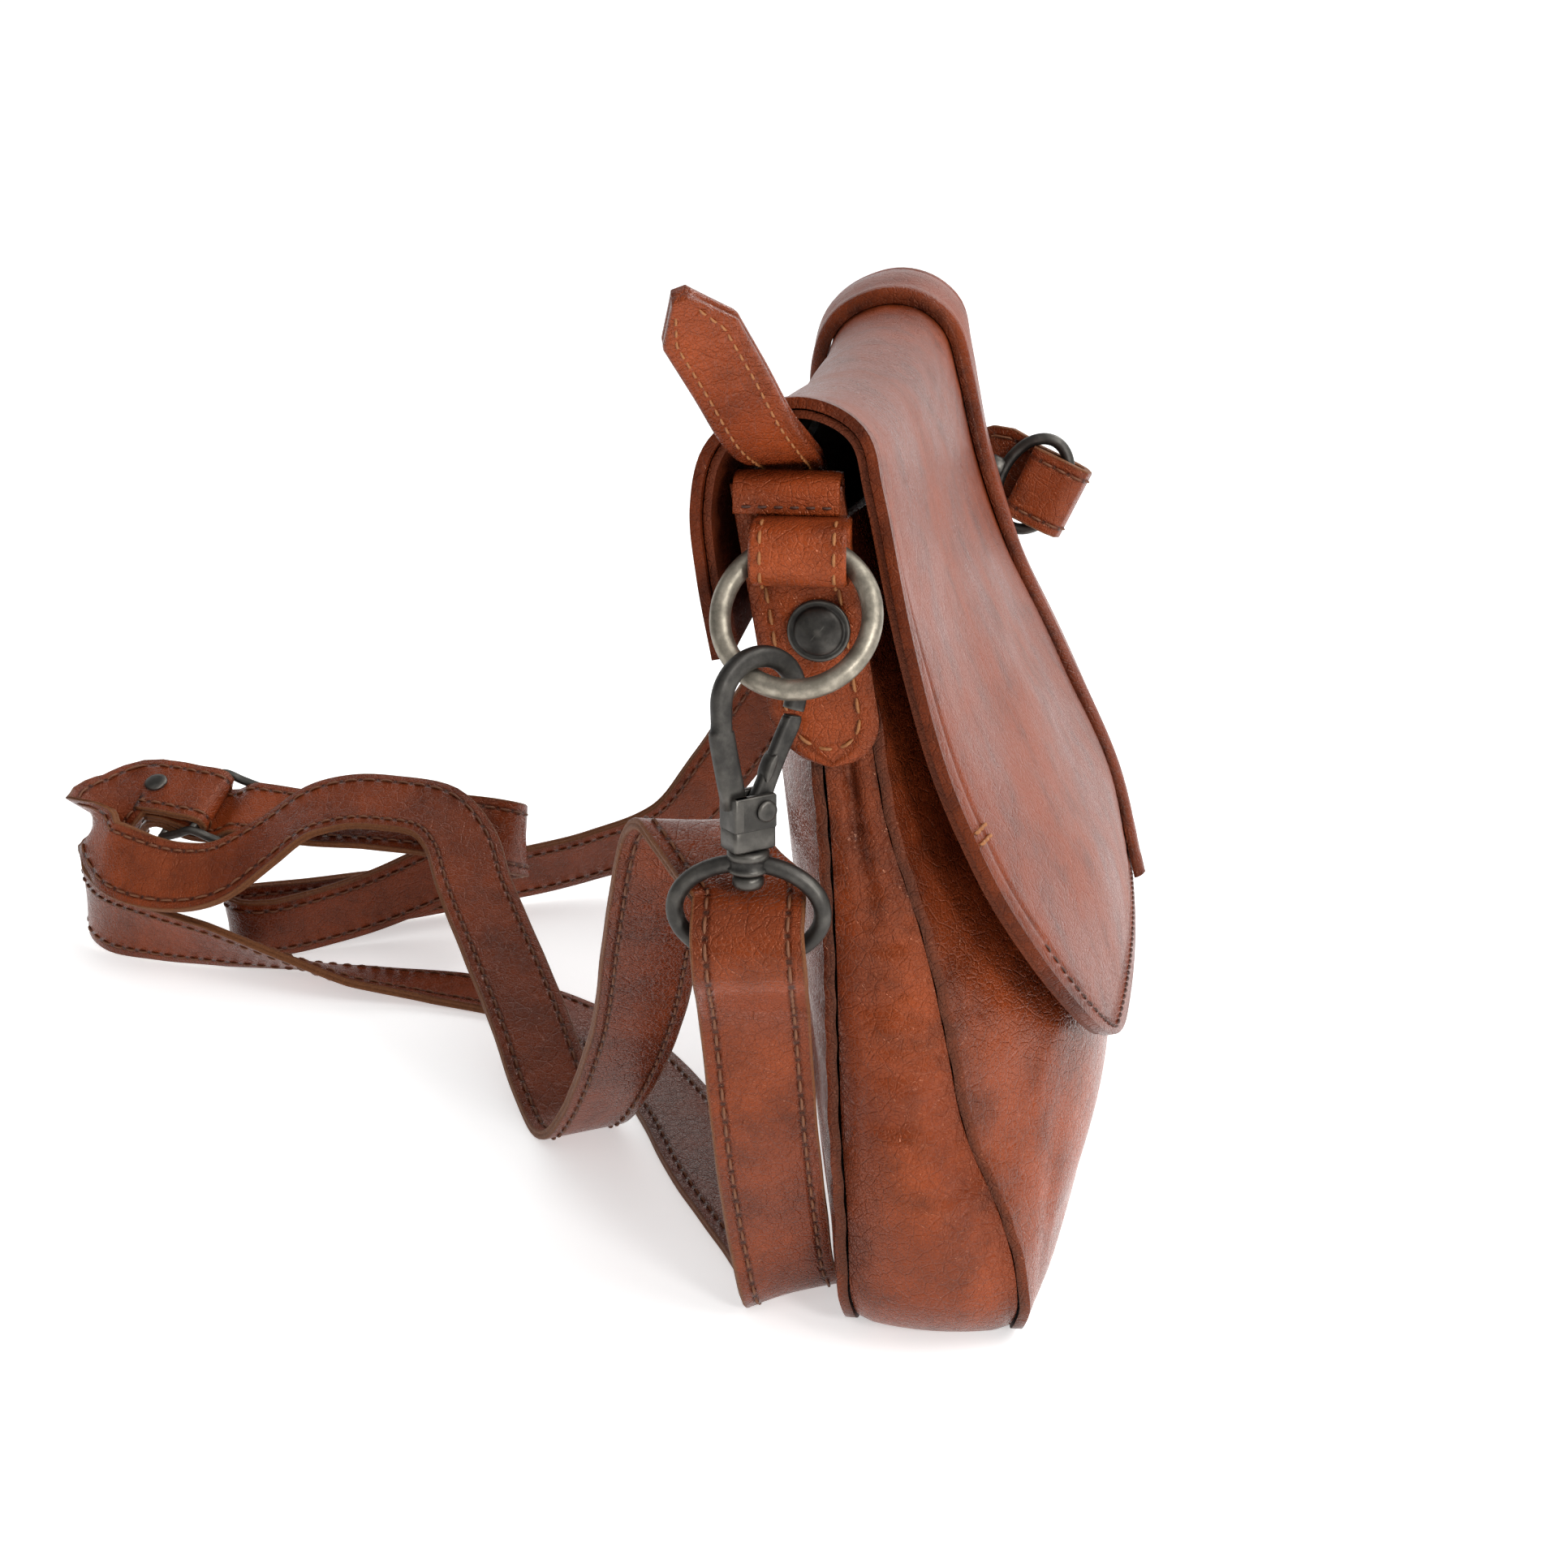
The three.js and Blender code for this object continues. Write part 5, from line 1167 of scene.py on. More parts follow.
def build_stud(side, label):
    """Domed stud: a rim profile and a quarter ellipse turned about the X direction."""
    z = TAB_TOP - STUD_DROP
    centre = vec(side * (TAB_FACE + CLEARANCE), tab_y(z) - 2, z)
    arc = np.linspace(0, math.pi / 2, 8)
    profile = [(STUD_RADIUS * 0.97, 0.0), (STUD_RADIUS, 0.25), (STUD_RADIUS, 0.9),
               (STUD_RADIUS * 0.93, 1.15),
               (STUD_RADIUS * 0.86, 1.0)]
    profile += [(max(STUD_RADIUS * 0.8 * math.cos(a), 0.05),
                 1.0 + (STUD_HEIGHT - 1.0) * math.sin(a)) for a in arc]
    piece = loft_piece(f"side_stud_metal_{label}", [turned_mesh(centre, vec(side, 0, 0), vec(0, 1, 0),
                                                                profile)])
    dress(piece, BAG, "clasp_metal", f"side_stud_{label}")


# Near clasp

def near_clasp_frame():
    """Centre of the hook and its two level directions, from the ring, the swing and the turn."""
    hang = -ring_up(-1) * math.cos(CLASP_SWING) + vec(0, 1, 0) * math.sin(CLASP_SWING)
    wire = RING_CENTRE * vec(-1, 1, 1) + hang * RING_RADIUS
    across = vec(-math.sin(CLASP_TURN), -math.cos(CLASP_TURN), 0)
    through = np.cross(vec(0, 0, 1), across)
    centre = wire - vec(0, 0, HOOK_RADIUS - HOOK_WIRE - RING_WIRE - 2.5 * CLEARANCE)
    return centre, across, through


CLASP_CENTRE, CLASP_U, CLASP_V = near_clasp_frame()
STEM_U = -2.5
PIVOT_U = -0.4
PIVOT_Z = -CLASP_LENGTH + 7.5
BLOCK_TOP = -CLASP_LENGTH + 10.5
NOSE_ANGLE = math.radians(-22)
COLLAR_TOP = -CLASP_LENGTH - CLEARANCE
COLLAR_BOTTOM = COLLAR_TOP - COLLAR_HEIGHT


def in_clasp(u, v, z):
    """Point from places along the clasp frame: centre plus u, v and z times their directions."""
    u, v, z = (np.asarray(value, float)[..., None] for value in (u, v, z))
    return CLASP_CENTRE + u * CLASP_U + v * CLASP_V + z * vec(0, 0, 1)


def clasp_bar(points, thickness, power=0.75, per_span=5):
    """Bar in the clasp's plane along points of place, height and half width, with a superellipse section."""
    rows, _ = smooth_path(points, per_span)
    ahead = unit(np.gradient(rows[:, :2], axis=0))
    shape = superellipse(24, 1.0, thickness / 2, power)
    w = shape[None, :, 0] * rows[:, 2:3]
    u = rows[:, 0:1] - ahead[:, 1:2] * w
    z = rows[:, 1:2] + ahead[:, 0:1] * w
    return loft_mesh(in_clasp(u, np.repeat(shape[None, :, 1], len(rows), 0), z))


def clasp_box(u_min, u_max, v_min, v_max, z_min, z_max, power=0.22):
    shape = superellipse(40, (u_max - u_min) / 2, (v_max - v_min) / 2, power)
    steps = [(0.93, 0.0), (1.0, 0.35), (1.0, z_max - z_min - 0.35), (0.93, z_max - z_min)]
    loops = [in_clasp((u_min + u_max) / 2 + shape[:, 0] * s, (v_min + v_max) / 2 + shape[:, 1] * s,
                      np.full(40, z_min + h)) for s, h in steps]
    return loft_mesh(loops)


def clasp_turned(profile):
    return turned_mesh(in_clasp(STEM_U, 0, 0), vec(0, 0, 1), CLASP_U, profile)


def build_clasp():
    """Hook, block, stem, gate and pin: superellipse bars, rounded boxes and turned profiles."""
    angle = np.linspace(NOSE_ANGLE, math.pi, 26)
    arc = [(HOOK_RADIUS * math.cos(a), HOOK_RADIUS * math.sin(a), HOOK_WIRE) for a in angle]
    arc += [(-HOOK_RADIUS, -4.6, HOOK_WIRE), (-HOOK_RADIUS, -5.2, HOOK_WIRE * 1.2),
            (-HOOK_RADIUS + 0.4, -8, HOOK_WIRE * 1.25), (-HOOK_RADIUS + 2.6, BLOCK_TOP - 2,
                                                         HOOK_WIRE * 1.25)]
    half = BLOCK_THICKNESS / 2
    slot = GATE_THICKNESS / 2 + CLEARANCE
    left = STEM_U - BLOCK_WIDTH / 2
    right = STEM_U + BLOCK_WIDTH / 2
    floor = PIVOT_Z - 3.2
    stem_end = COLLAR_BOTTOM - CLEARANCE
    parts = [
        clasp_bar(arc, HOOK_THICKNESS, 0.75, 3),
        clasp_box(left, right, -half, half, -CLASP_LENGTH, floor),
        clasp_box(left, PIVOT_U - 3.4, -half, half, floor - 0.4, BLOCK_TOP),
        clasp_box(left + 0.2, right, slot, half, floor - 0.4, BLOCK_TOP),
        clasp_box(left + 0.2, right, -half, -slot, floor - 0.4, BLOCK_TOP),
        clasp_turned([(STEM_RADIUS, -CLASP_LENGTH + 0.5), (STEM_RADIUS, stem_end - 0.5)]),
        clasp_turned([(STEM_RADIUS, stem_end), (KNOB_RADIUS * 0.9, stem_end - 0.3),
                      (KNOB_RADIUS, stem_end - 1.0),
                      (KNOB_RADIUS, stem_end - 2.0), (KNOB_RADIUS * 0.85,
                                                      stem_end - 2.7), (STEM_RADIUS, stem_end - 3.0)]),
    ]
    dress(loft_piece("clasp_hook_metal", parts), BAG, "clasp_metal", "clasp_hook")
    tip = NOSE_ANGLE - math.radians(3)
    tip_u = HOOK_RADIUS * math.cos(tip)
    tip_z = HOOK_RADIUS * math.sin(tip) - CLEARANCE
    wide = GATE_WIDTH / 2
    lever = [(PIVOT_U - 0.6, PIVOT_Z - 1.6, wide * 0.7), (PIVOT_U, PIVOT_Z, wide * 1.25),
             (PIVOT_U + 1.4, PIVOT_Z + 3.5, wide * 1.1),
             (PIVOT_U + (tip_u - PIVOT_U) * 0.6, PIVOT_Z + (tip_z - PIVOT_Z) * 0.6, wide),
             (tip_u - 0.2, tip_z - 1.2, wide), (tip_u, tip_z - 0.4, wide * 0.8)]
    thumb = [(PIVOT_U + 1.0, PIVOT_Z + 5.0, 0.3), (PIVOT_U + 1.4, PIVOT_Z + 5.6, 0.9),
             (PIVOT_U + 2.2, PIVOT_Z + 7.4, 1.2),
             (PIVOT_U + 3.0, PIVOT_Z + 9.2, 0.9), (PIVOT_U + 3.2, PIVOT_Z + 9.8, 0.3)]
    gate = loft_piece("clasp_gate_metal", [clasp_bar(lever, GATE_THICKNESS, 0.6),
                                           clasp_bar(thumb, GATE_THICKNESS + 1.0, 0.8)])
    dress(gate, GATE, "clasp_metal", "clasp_gate")
    pin_half = half + CLEARANCE
    profile = [(PIN_RADIUS, 0.0)] + [(PIN_RADIUS * 1.7 * f, h) for f, h in ((1, 0), (1, 0.3), (0.7, 0.5),
                                                                            (0.1, 0.6))]
    heads = [turned_mesh(in_clasp(PIVOT_U, s * pin_half, PIVOT_Z), s * CLASP_V, CLASP_U, profile,
                         28) for s in (-1, 1)]
    rod = turned_mesh(in_clasp(PIVOT_U, -pin_half, PIVOT_Z), CLASP_V, CLASP_U,
                      [(PIN_RADIUS, 0), (PIN_RADIUS, 2 * pin_half)], 20)
    dress(loft_piece("clasp_pin_metal", heads + [rod]), BAG, "clasp_metal", "clasp_pin")


EYE_CENTRE = in_clasp(STEM_U, 0, COLLAR_BOTTOM + EYE_WIRE - EYE_HEIGHT / 2)


def build_clasp_eye():
    """Oval wire eye with a turned collar."""
    points = oval(EYE_CENTRE, vec(0, -1, 0), vec(0, 0, 1), EYE_WIDTH / 2, EYE_HEIGHT / 2, 96)
    collar = [(STEM_RADIUS + 0.4, COLLAR_TOP), (COLLAR_RADIUS * 0.85, COLLAR_TOP),
              (COLLAR_RADIUS, COLLAR_TOP - 0.5),
              (COLLAR_RADIUS, COLLAR_TOP - 1.5), (COLLAR_RADIUS * 0.9, COLLAR_TOP - 1.8),
              (COLLAR_RADIUS * 0.9, COLLAR_BOTTOM + 1.4), (COLLAR_RADIUS, COLLAR_BOTTOM + 1.0),
              (COLLAR_RADIUS, COLLAR_BOTTOM + 0.4), (COLLAR_RADIUS * 0.85, COLLAR_BOTTOM),
              (STEM_RADIUS + 0.4, COLLAR_BOTTOM)]
    parts = [wire_mesh(points, EYE_WIRE, vec(1, 0, 0), 18), clasp_turned(collar)]
    dress(loft_piece("clasp_eye_metal", parts), BAG, "clasp_metal", "clasp_eye")


# Far clasp

FAR_EYE = 6.5
FAR_SHANK = 12.0
FAR_SWING = math.radians(45)
FAR_ALONG = unit(vec(-0.02, -0.9, -0.42))
FAR_ACROSS = -unit(vec(0, -FAR_ALONG[2], FAR_ALONG[1]))
FAR_FACING = unit(np.cross(FAR_ALONG, FAR_ACROSS))
FAR_HANG = -ring_up(1) * math.cos(FAR_SWING) + vec(0, -1, 0) * math.sin(FAR_SWING)
FAR_WIRE = RING_CENTRE + RING_RADIUS * FAR_HANG
FAR_EYE_CENTRE = FAR_WIRE + FAR_ALONG * (FAR_EYE - HOOK_WIRE - RING_WIRE - 3 * CLEARANCE)
FAR_LOOP_CENTRE = FAR_EYE_CENTRE + FAR_ALONG * (FAR_EYE + FAR_SHANK + EYE_HEIGHT / 2)


def build_far_clasp():
    """Wire eye, turned shank and oval wire loop in line."""
    wire_along = ring_up(1) * math.sin(FAR_SWING) + vec(0, -1, 0) * math.cos(FAR_SWING)
    eye_side = unit(np.cross(FAR_ALONG, wire_along))
    eye = wire_mesh(oval(FAR_EYE_CENTRE, FAR_ALONG, eye_side, FAR_EYE, FAR_EYE, 48), HOOK_WIRE,
                    np.cross(FAR_ALONG, eye_side), 16)
    radius = 1.5 * HOOK_WIRE
    profile = [(radius * f, FAR_EYE + FAR_SHANK * h) for f, h in
               ((0.8, 0), (1, 0.06), (1, 0.5), (0.8, 0.54), (0.8, 0.62), (1, 0.66), (1, 0.94), (0.8, 1))]
    shank = turned_mesh(FAR_EYE_CENTRE, FAR_ALONG, FAR_ACROSS, profile)
    loop = wire_mesh(oval(FAR_LOOP_CENTRE, FAR_ACROSS, FAR_ALONG, EYE_WIDTH / 2, EYE_HEIGHT / 2, 72),
                     EYE_WIRE,
                     FAR_FACING, 16)
    dress(loft_piece("far_clasp_metal", [eye, shank, loop]), BAG, "clasp_metal", "far_clasp")


# Slider and strap

SLIDER_CENTRE = vec(88, 230, 47)
SLIDER_ALONG = unit(vec(0.1, 0.99, 0.03))
_lean = vec(0.9, -0.1, 0.43)
SLIDER_ACROSS = unit(_lean - np.dot(_lean, SLIDER_ALONG) * SLIDER_ALONG)
SLIDER_FACING = unit(np.cross(SLIDER_ACROSS, SLIDER_ALONG))
SLIDER_HALF = SLIDER_LENGTH / 2 - SLIDER_WIRE
SLIDER_REACH = STRAP_WIDTH / 2 + SLIDER_WIRE + 2 * CLEARANCE
LAYER = STRAP_WALL + CLEARANCE
HALF_WALL = STRAP_WALL / 2
TAIL_OUT = -SLIDER_ARCH / 2 + 0.6 + LAYER


def at_slider(along, out, across=0.0):
    """Point from places along, out of and across the slider."""
    return SLIDER_CENTRE + along * SLIDER_ALONG + out * SLIDER_FACING + across * SLIDER_ACROSS


def build_slider():
    """Three straight bars and two arched side rails, each a circle carried along a line, and a domed rivet."""
    parts = []
    for along, out in ((-SLIDER_HALF, -SLIDER_ARCH), (0, 0), (SLIDER_HALF, -SLIDER_ARCH)):
        ends = np.array([at_slider(along, out, f * SLIDER_REACH) for f in (-1, -0.5, 0, 0.5, 1)])
        parts.append(wire_mesh(ends, SLIDER_WIRE, SLIDER_FACING, 14, False))
    for side in (-1, 1):
        rows = [at_slider(a, o, side * SLIDER_REACH) for a, o in
                ((-SLIDER_HALF - 0.4, -SLIDER_ARCH - 0.1), (-SLIDER_HALF * 0.5, -SLIDER_ARCH * 0.5),
                 (0, 0.1),
                 (SLIDER_HALF * 0.5, -SLIDER_ARCH * 0.5), (SLIDER_HALF + 0.4, -SLIDER_ARCH - 0.1))]
        path, _ = smooth_path(rows, 8)
        parts.append(wire_mesh(path, SLIDER_WIRE * 1.06, SLIDER_ACROSS, 14, False))
    dress(loft_piece("strap_slider_metal", parts), BAG, "clasp_metal", "strap_slider")
    centre = at_slider(15.5, TAIL_OUT + LAYER + HALF_WALL + CLEARANCE + 0.2)
    profile = [(RIVET_RADIUS, 0), (RIVET_RADIUS, 0.35), (RIVET_RADIUS * 0.85, 0.8),
               (RIVET_RADIUS * 0.5, 1.2), (0.2, 1.3)]
    dress(loft_piece("slider_rivet_metal", [turned_mesh(centre, SLIDER_FACING, SLIDER_ALONG, profile, 28)]),
          BAG,
          "clasp_metal", "slider_rivet")


def slider_end_rows():
    """Sewn end round the slider's middle bar: tail, half turn about the bar, and the strand that leaves."""
    radius = SLIDER_WIRE + CLEARANCE + HALF_WALL
    edge = -SLIDER_ACROSS
    rows = [(at_slider(a, o), edge) for a, o in ((16, TAIL_OUT), (SLIDER_HALF, TAIL_OUT - 0.1), (5, -1.2))]
    rows += [(at_slider(-radius * math.sin(a), -radius * math.cos(a)),
              edge) for a in math.pi * np.arange(5) / 4]
    return rows + [(at_slider(a, o), edge) for a, o in
                   ((6, 3.3), (SLIDER_HALF, TAIL_OUT + LAYER), (16, TAIL_OUT + LAYER + 0.1),
                    (20, TAIL_OUT + LAYER))]


def slider_pass_rows():
    """Sliding layer: in under one outer bar, below the sewn end, and out under the other outer bar."""
    under = -(SLIDER_WIRE + CLEARANCE + STRAP_WALL + CLEARANCE + HALF_WALL)
    inside = -SLIDER_ARCH + SLIDER_WIRE + CLEARANCE + HALF_WALL + 0.1
    return [(at_slider(a, o), SLIDER_ACROSS) for a, o in
            ((15, inside), (SLIDER_HALF, inside), (5, under * 0.9), (0, under), (-5, under * 0.9),
             (-SLIDER_HALF, inside), (-15, inside))]


def far_end_rows():
    """Sewn end round the far bar of the far clasp's eye, from the tail to the strand over the shank."""
    bar = FAR_LOOP_CENTRE + FAR_ALONG * EYE_HEIGHT / 2
    radius = EYE_WIRE + CLEARANCE + HALF_WALL
    over = 1.5 * HOOK_WIRE + 2 * CLEARANCE + HALF_WALL
    places = [(-14, radius), (-5, radius)]
    places += [(radius * math.sin(a), radius * math.cos(a)) for a in math.pi * np.arange(5) / 4]
    places += [(-5, -radius), (-13, -radius - 0.5), (-EYE_HEIGHT - 3, -over - 1)]
    return [(bar + a * FAR_ALONG + o * FAR_FACING, FAR_ACROSS) for a, o in places]


# Strap route between its sewn ends: place of the middle, then the direction of one edge
ROUTE_TO_EYE = [
    (84, 255, 49, -0.85, 0, -0.5), (77, 260, 45, -0.65, -0.1, -0.75), (69, 255, 37.5, -0.35, -0.25, -0.9),
    (64.5, 245, 34, -0.45, -0.3, -0.85), (63, 232, 32, -0.6, -0.3, -0.7), (64, 220, 33.5, -0.75, -0.2,
                                                                           -0.6),
    (69, 207, 41, -0.85, 0, -0.5), (75.5, 195, 49, -0.9, 0, -0.43), (80, 184, 51.5, -0.9, 0, -0.43),
    (82, 172, 51, -0.9, 0, -0.43), (80, 158, 49.5, -0.85, 0.3, -0.4), (73, 149, 44, -0.7, 0.65, -0.2),
    (58, 141, 36, -0.52, 0.84, -0.05), (38, 129, 26, -0.52, 0.85, 0), (16, 116, 15.5, -0.52, 0.85, 0),
    (-4, 105, 5.5, -0.54, 0.84, 0), (-13, 99.5, 1.7, -0.54, 0.84, 0), (-19, 96, 1.5, -0.54, 0.84, 0),
    (-24.5, 92, 4, -0.54, 0.84, 0), (-36, 84, 17, -0.5, 0.86, 0), (-60, 71, 48, -0.45, 0.88, 0.05),
    (-84, 62, 80, -0.4, 0.9, 0.1), (-99, 56, 102, -0.35, 0.93, 0.1), (-104, 53, 110, -0.3, 0.95, 0.1),
    (-110, 49, 114, -0.25, 0.96, 0.05),
]
ROUTE_IN_EYE = [
    (9.5, 4.5, 4.2, -0.12, 0.98, 0), (4, 0.6, 2.6, -0.05, 1, 0), (0, 0, 0.6, 0, 1,
                                                                  0), (-4.4, -0.3, -3.6, 0, 1, 0),
    (-5.4, -1, -11, -0.05, 1, 0),
]
ROUTE_TO_SLIDER = [
    (-127, 34, 82, -0.15, 0.98, 0), (-119, 33, 52, -0.25, 0.96, 0), (-107, 32, 24, -0.4, 0.9, 0),
    (-99, 31, 7.5, -0.52, 0.85, 0), (-94, 30.5, 3.6, -0.55, 0.83, 0), (-87, 32, 1.8, -0.56, 0.82, 0),
    (-73, 38.5, 1.5, -0.56, 0.82, 0), (-40, 56.5, 1.5, -0.55, 0.83, 0), (0, 75, 1.5, -0.5, 0.86, 0),
    (34, 99, 1.5, -0.65, 0.75, 0), (55, 126, 1.6, -0.85, 0.5, 0), (62, 152, 2, -1, 0.1, 0.04),
    (63, 178, 3.9, -0.97, 0, 0.2), (64, 200, 7.3, -0.85, 0, 0.52), (67, 222, 9.8, -0.6, 0, 0.8),
    (72, 244, 10.9, -0.35, 0, 0.93), (79, 262, 11.8, -0.1, 0, 1), (88, 270, 14.5, 0.05, 0, 1),
    (98.5, 269, 21, 0.35, 0, 0.93), (101.5, 259, 31, 0.75, -0.1, 0.65),
]
ROUTE_TO_FAR_SIDE = [
    (87.2, 200, 43.6, 0.9, 0, 0.43), (86.5, 180, 43.6, 0.88, 0, 0.45), (87.5, 162, 43, 0.8, 0, 0.6),
    (90, 149, 40.5, 0.6, 0, 0.8), (96, 140, 37, 0.3, 0, 0.95), (104, 138.5, 33, 0.1, 0, 1),
    (110, 146, 29, -0.05, 0, 1), (106, 160, 23.5, -0.2, 0, 0.97), (94, 185, 14.5, -0.3, 0, 0.95),
    (80, 208, 11, -0.4, 0, 0.92), (77, 217, 11, -0.3, 0, 0.95), (82, 223, 11.1, -0.2, 0, 0.98),
    (89, 219, 11, -0.3, 0, 0.95), (98, 206, 10.8, -0.4, 0, 0.92), (112, 182, 10.8, -0.45, 0, 0.9),
    (127, 155, 12, -0.5, 0, 0.87), (141, 126, 16, -0.5, 0, 0.87), (149, 101, 25, -0.45, 0.2, 0.85),
    (150, 84, 45, -0.35, 0.55, 0.7), (146, 66, 72, -0.25, 0.75, 0.6), (141, 46, 99, -0.1, 0.7, 0.7),
    (144, 31, 120, 0, 0.5, 0.85), (142.5, 13, 133, 0, 0.45, 0.88),
]


def plain_rows(table, shift=(0, 0, 0)):
    """Rows of place and edge direction from a route table, moved by the shift."""
    return [(vec(*row[:3]) + np.asarray(shift), vec(*row[3:])) for row in table]


def strap_rows():
    """The whole route: slider end, first run, eye, second run, slider pass, third run and far end."""
    return (slider_end_rows() + plain_rows(ROUTE_TO_EYE) + plain_rows(ROUTE_IN_EYE, EYE_CENTRE)
            + plain_rows(ROUTE_TO_SLIDER) + slider_pass_rows() + plain_rows(ROUTE_TO_FAR_SIDE)
            + far_end_rows()[::-1])


def band_frame(rows, step):
    """Samples along a band's route: middle, edge and face directions, and length so far."""
    points = np.array([row[0] for row in rows])
    edges = np.array([row[1] for row in rows])
    spans = np.maximum(1, np.round(np.linalg.norm(np.diff(points, axis=0), axis=1) / step)).astype(int)
    centre, at = smooth_path(points, spans)
    edge = np.stack([np.interp(at, np.arange(len(rows)), edges[:, k]) for k in range(3)], -1)
    ahead = unit(np.gradient(centre, axis=0))
    edge = unit(edge - np.sum(edge * ahead, -1, keepdims=True) * ahead)
    face = unit(np.cross(ahead, edge))
    length = np.concatenate([[0], np.cumsum(np.linalg.norm(np.diff(centre, axis=0), axis=1))])
    return centre, edge, face, length


def band_section(width, wall):
    """Section of a doubled strap: flat faces, rounded corners and a shallow seam in each edge."""
    half = width / 2
    side = [(half - 0.7, 1.0), (half - 0.22, 0.9), (half, 0.62), (half - 0.05, 0.25), (half - 0.3, 0.0)]
    top = [(f * half, 1.0) for f in (-0.86, -0.72, -0.62, -0.4, -0.2, 0, 0.2, 0.4, 0.62, 0.72, 0.86)]
    right = side + [(e, -h) for e, h in side[-2::-1]]
    left = [(-e, h) for e, h in right[::-1]]
    bottom = [(e, -h) for e, h in top[::-1]]
    loop = top + right + bottom + left
    return np.array([(e, h * wall / 2) for e, h in loop])


def build_band(name, rows, width, wall, step):
    """Doubled strap: the band section carried along the route, with its length and width as UV in metres."""
    centre, edge, face, length = band_frame(rows, step)
    shape = band_section(width, wall)
    wobble = 1 + 0.006 * np.sin(length * 0.11) + 0.004 * np.sin(length * 0.31 + 1)
    across = shape[None, :, 0] * wobble[:, None]
    loops = centre[:, None] + across[..., None] * edge[:, None] + shape[None, :, 1:] * face[:, None]
    verts, faces = join_meshes([loft_mesh(loops)])
    count = len(shape)
    raw = np.tile(np.abs(shape[:, 0]) > width / 2 - 0.5, len(centre)).astype(float)
    border = np.tile(np.exp(-(width / 2 - np.abs(shape[:, 0])) / 1.6), len(centre))
    uv = np.stack([np.repeat(length, count) * MM, np.tile(shape[:, 0], len(centre)) * MM], -1)
    extra = np.zeros(2)
    piece = new_mesh(name, verts, faces, {"raw": np.concatenate([raw, extra + 1]),
                                          "burnish_and_shade": np.concatenate([0.45 * border, extra]),
                                          "inside": np.zeros(len(verts))}, np.vstack([uv, np.zeros((2, 2))]))
    return piece, centre, edge, face, length


def build_strap(pitch, radius):
    """The strap band and four rows of stitches, one near each edge on each face."""
    piece, centre, edge, face, length = build_band("strap_leather_band", strap_rows(), STRAP_WIDTH,
                                                   STRAP_WALL, 2.2)
    dress(piece, BAG, "strap_leather", "strap")
    inset = STRAP_WIDTH / 2 - 3.0
    for k, (side, out) in enumerate(((1, 1), (-1, 1), (1, -1), (-1, -1))):
        path = centre + side * inset * edge + out * HALF_WALL * face
        row = stitch_row(f"strap_stitches_{k + 1}", path, out * face, pitch, 0.7 * pitch, radius, 0.04,
                         length)
        dress(row, BAG, "strap_leather", material="strap_thread")


ZIP_ROUTE = [
    (-98, 30.5, 183, 0, -1, 0.05), (-108, 30.5, 187.2, 0, -1, 0.06), (-118, 30.5, 190.0, 0, -0.98, 0.12),
    (-126, 33, 195, -0.05, -0.93, 0.32), (-136, 36.5, 205, -0.1, -0.88,
                                          0.42), (-146, 40.5, 215.5, -0.1, -0.86, 0.45),
    (-151, 42.5, 221, -0.1, -0.86, 0.45),
]


def build_zip_tab():
    """Two stitched leather layers with a groove between them, cut to a point at the tip."""
    centre, edge, face, length = band_frame(plain_rows(ZIP_ROUTE), 1.0)
    shape = band_section(ZIP_TAB_WIDTH, ZIP_TAB_WALL)
    to_tip = length[-1] - length
    taper = np.clip(0.2 + to_tip / 9.0 * 0.8, 0, 1)
    across = shape[None, :, 0] * taper[:, None]
    groove = 1 - 0.1 * (np.abs(shape[:, 1]) < 0.3)
    loops = centre[:, None] + (across * groove)[..., None] * edge[:,
                                                                  None] + shape[None, :, 1:] * face[:, None]
    verts, faces = join_meshes([loft_mesh(loops)])
    count = len(shape)
    raw = np.tile(np.abs(shape[:, 0]) > ZIP_TAB_WIDTH / 2 - 0.5, len(centre)).astype(float) * 0.6
    uv = np.stack([np.repeat(length, count) * MM, (shape[None, :,
                                                         0] * np.ones((len(centre), 1))).ravel() * MM], -1)
    border = np.tile(np.exp(-(ZIP_TAB_WIDTH / 2 - np.abs(shape[:, 0])) / 1.4), len(centre))
    piece = new_mesh("zip_end_tab_leather", verts, faces,
                     {"raw": np.concatenate([raw, [0.6, 0.6]]),
                      "burnish_and_shade": np.concatenate([0.5 * border, [0, 0]]),
                      "inside": np.zeros(len(verts))}, np.vstack([uv, np.zeros((2, 2))]))
    dress(piece, BAG, "leather", "zip_end_tab", material="leather")
    for k, (side, out) in enumerate(((1, 1), (-1, 1), (1, -1), (-1, -1))):
        keep = slice(2, None)
        offset = side * (ZIP_TAB_WIDTH / 2 - 2.6) * taper[:, None]
        path = (centre + offset * edge + out * ZIP_TAB_WALL / 2 * face)[keep]
        row = stitch_row(f"zip_tab_stitches_{k + 1}", path[:-3], (out * face)[keep][:-3], 2.6, 1.8, 0.24,
                         0.04)
        dress(row, BAG, "leather", material="thread")


# Studio

CAMERA_PLACE = vec(-526.3, -24.4, 257.5)
CAMERA_DOWN = math.radians(17.7)
CAMERA_YAW = math.radians(7.5)
CAMERA_LENS = 51.9


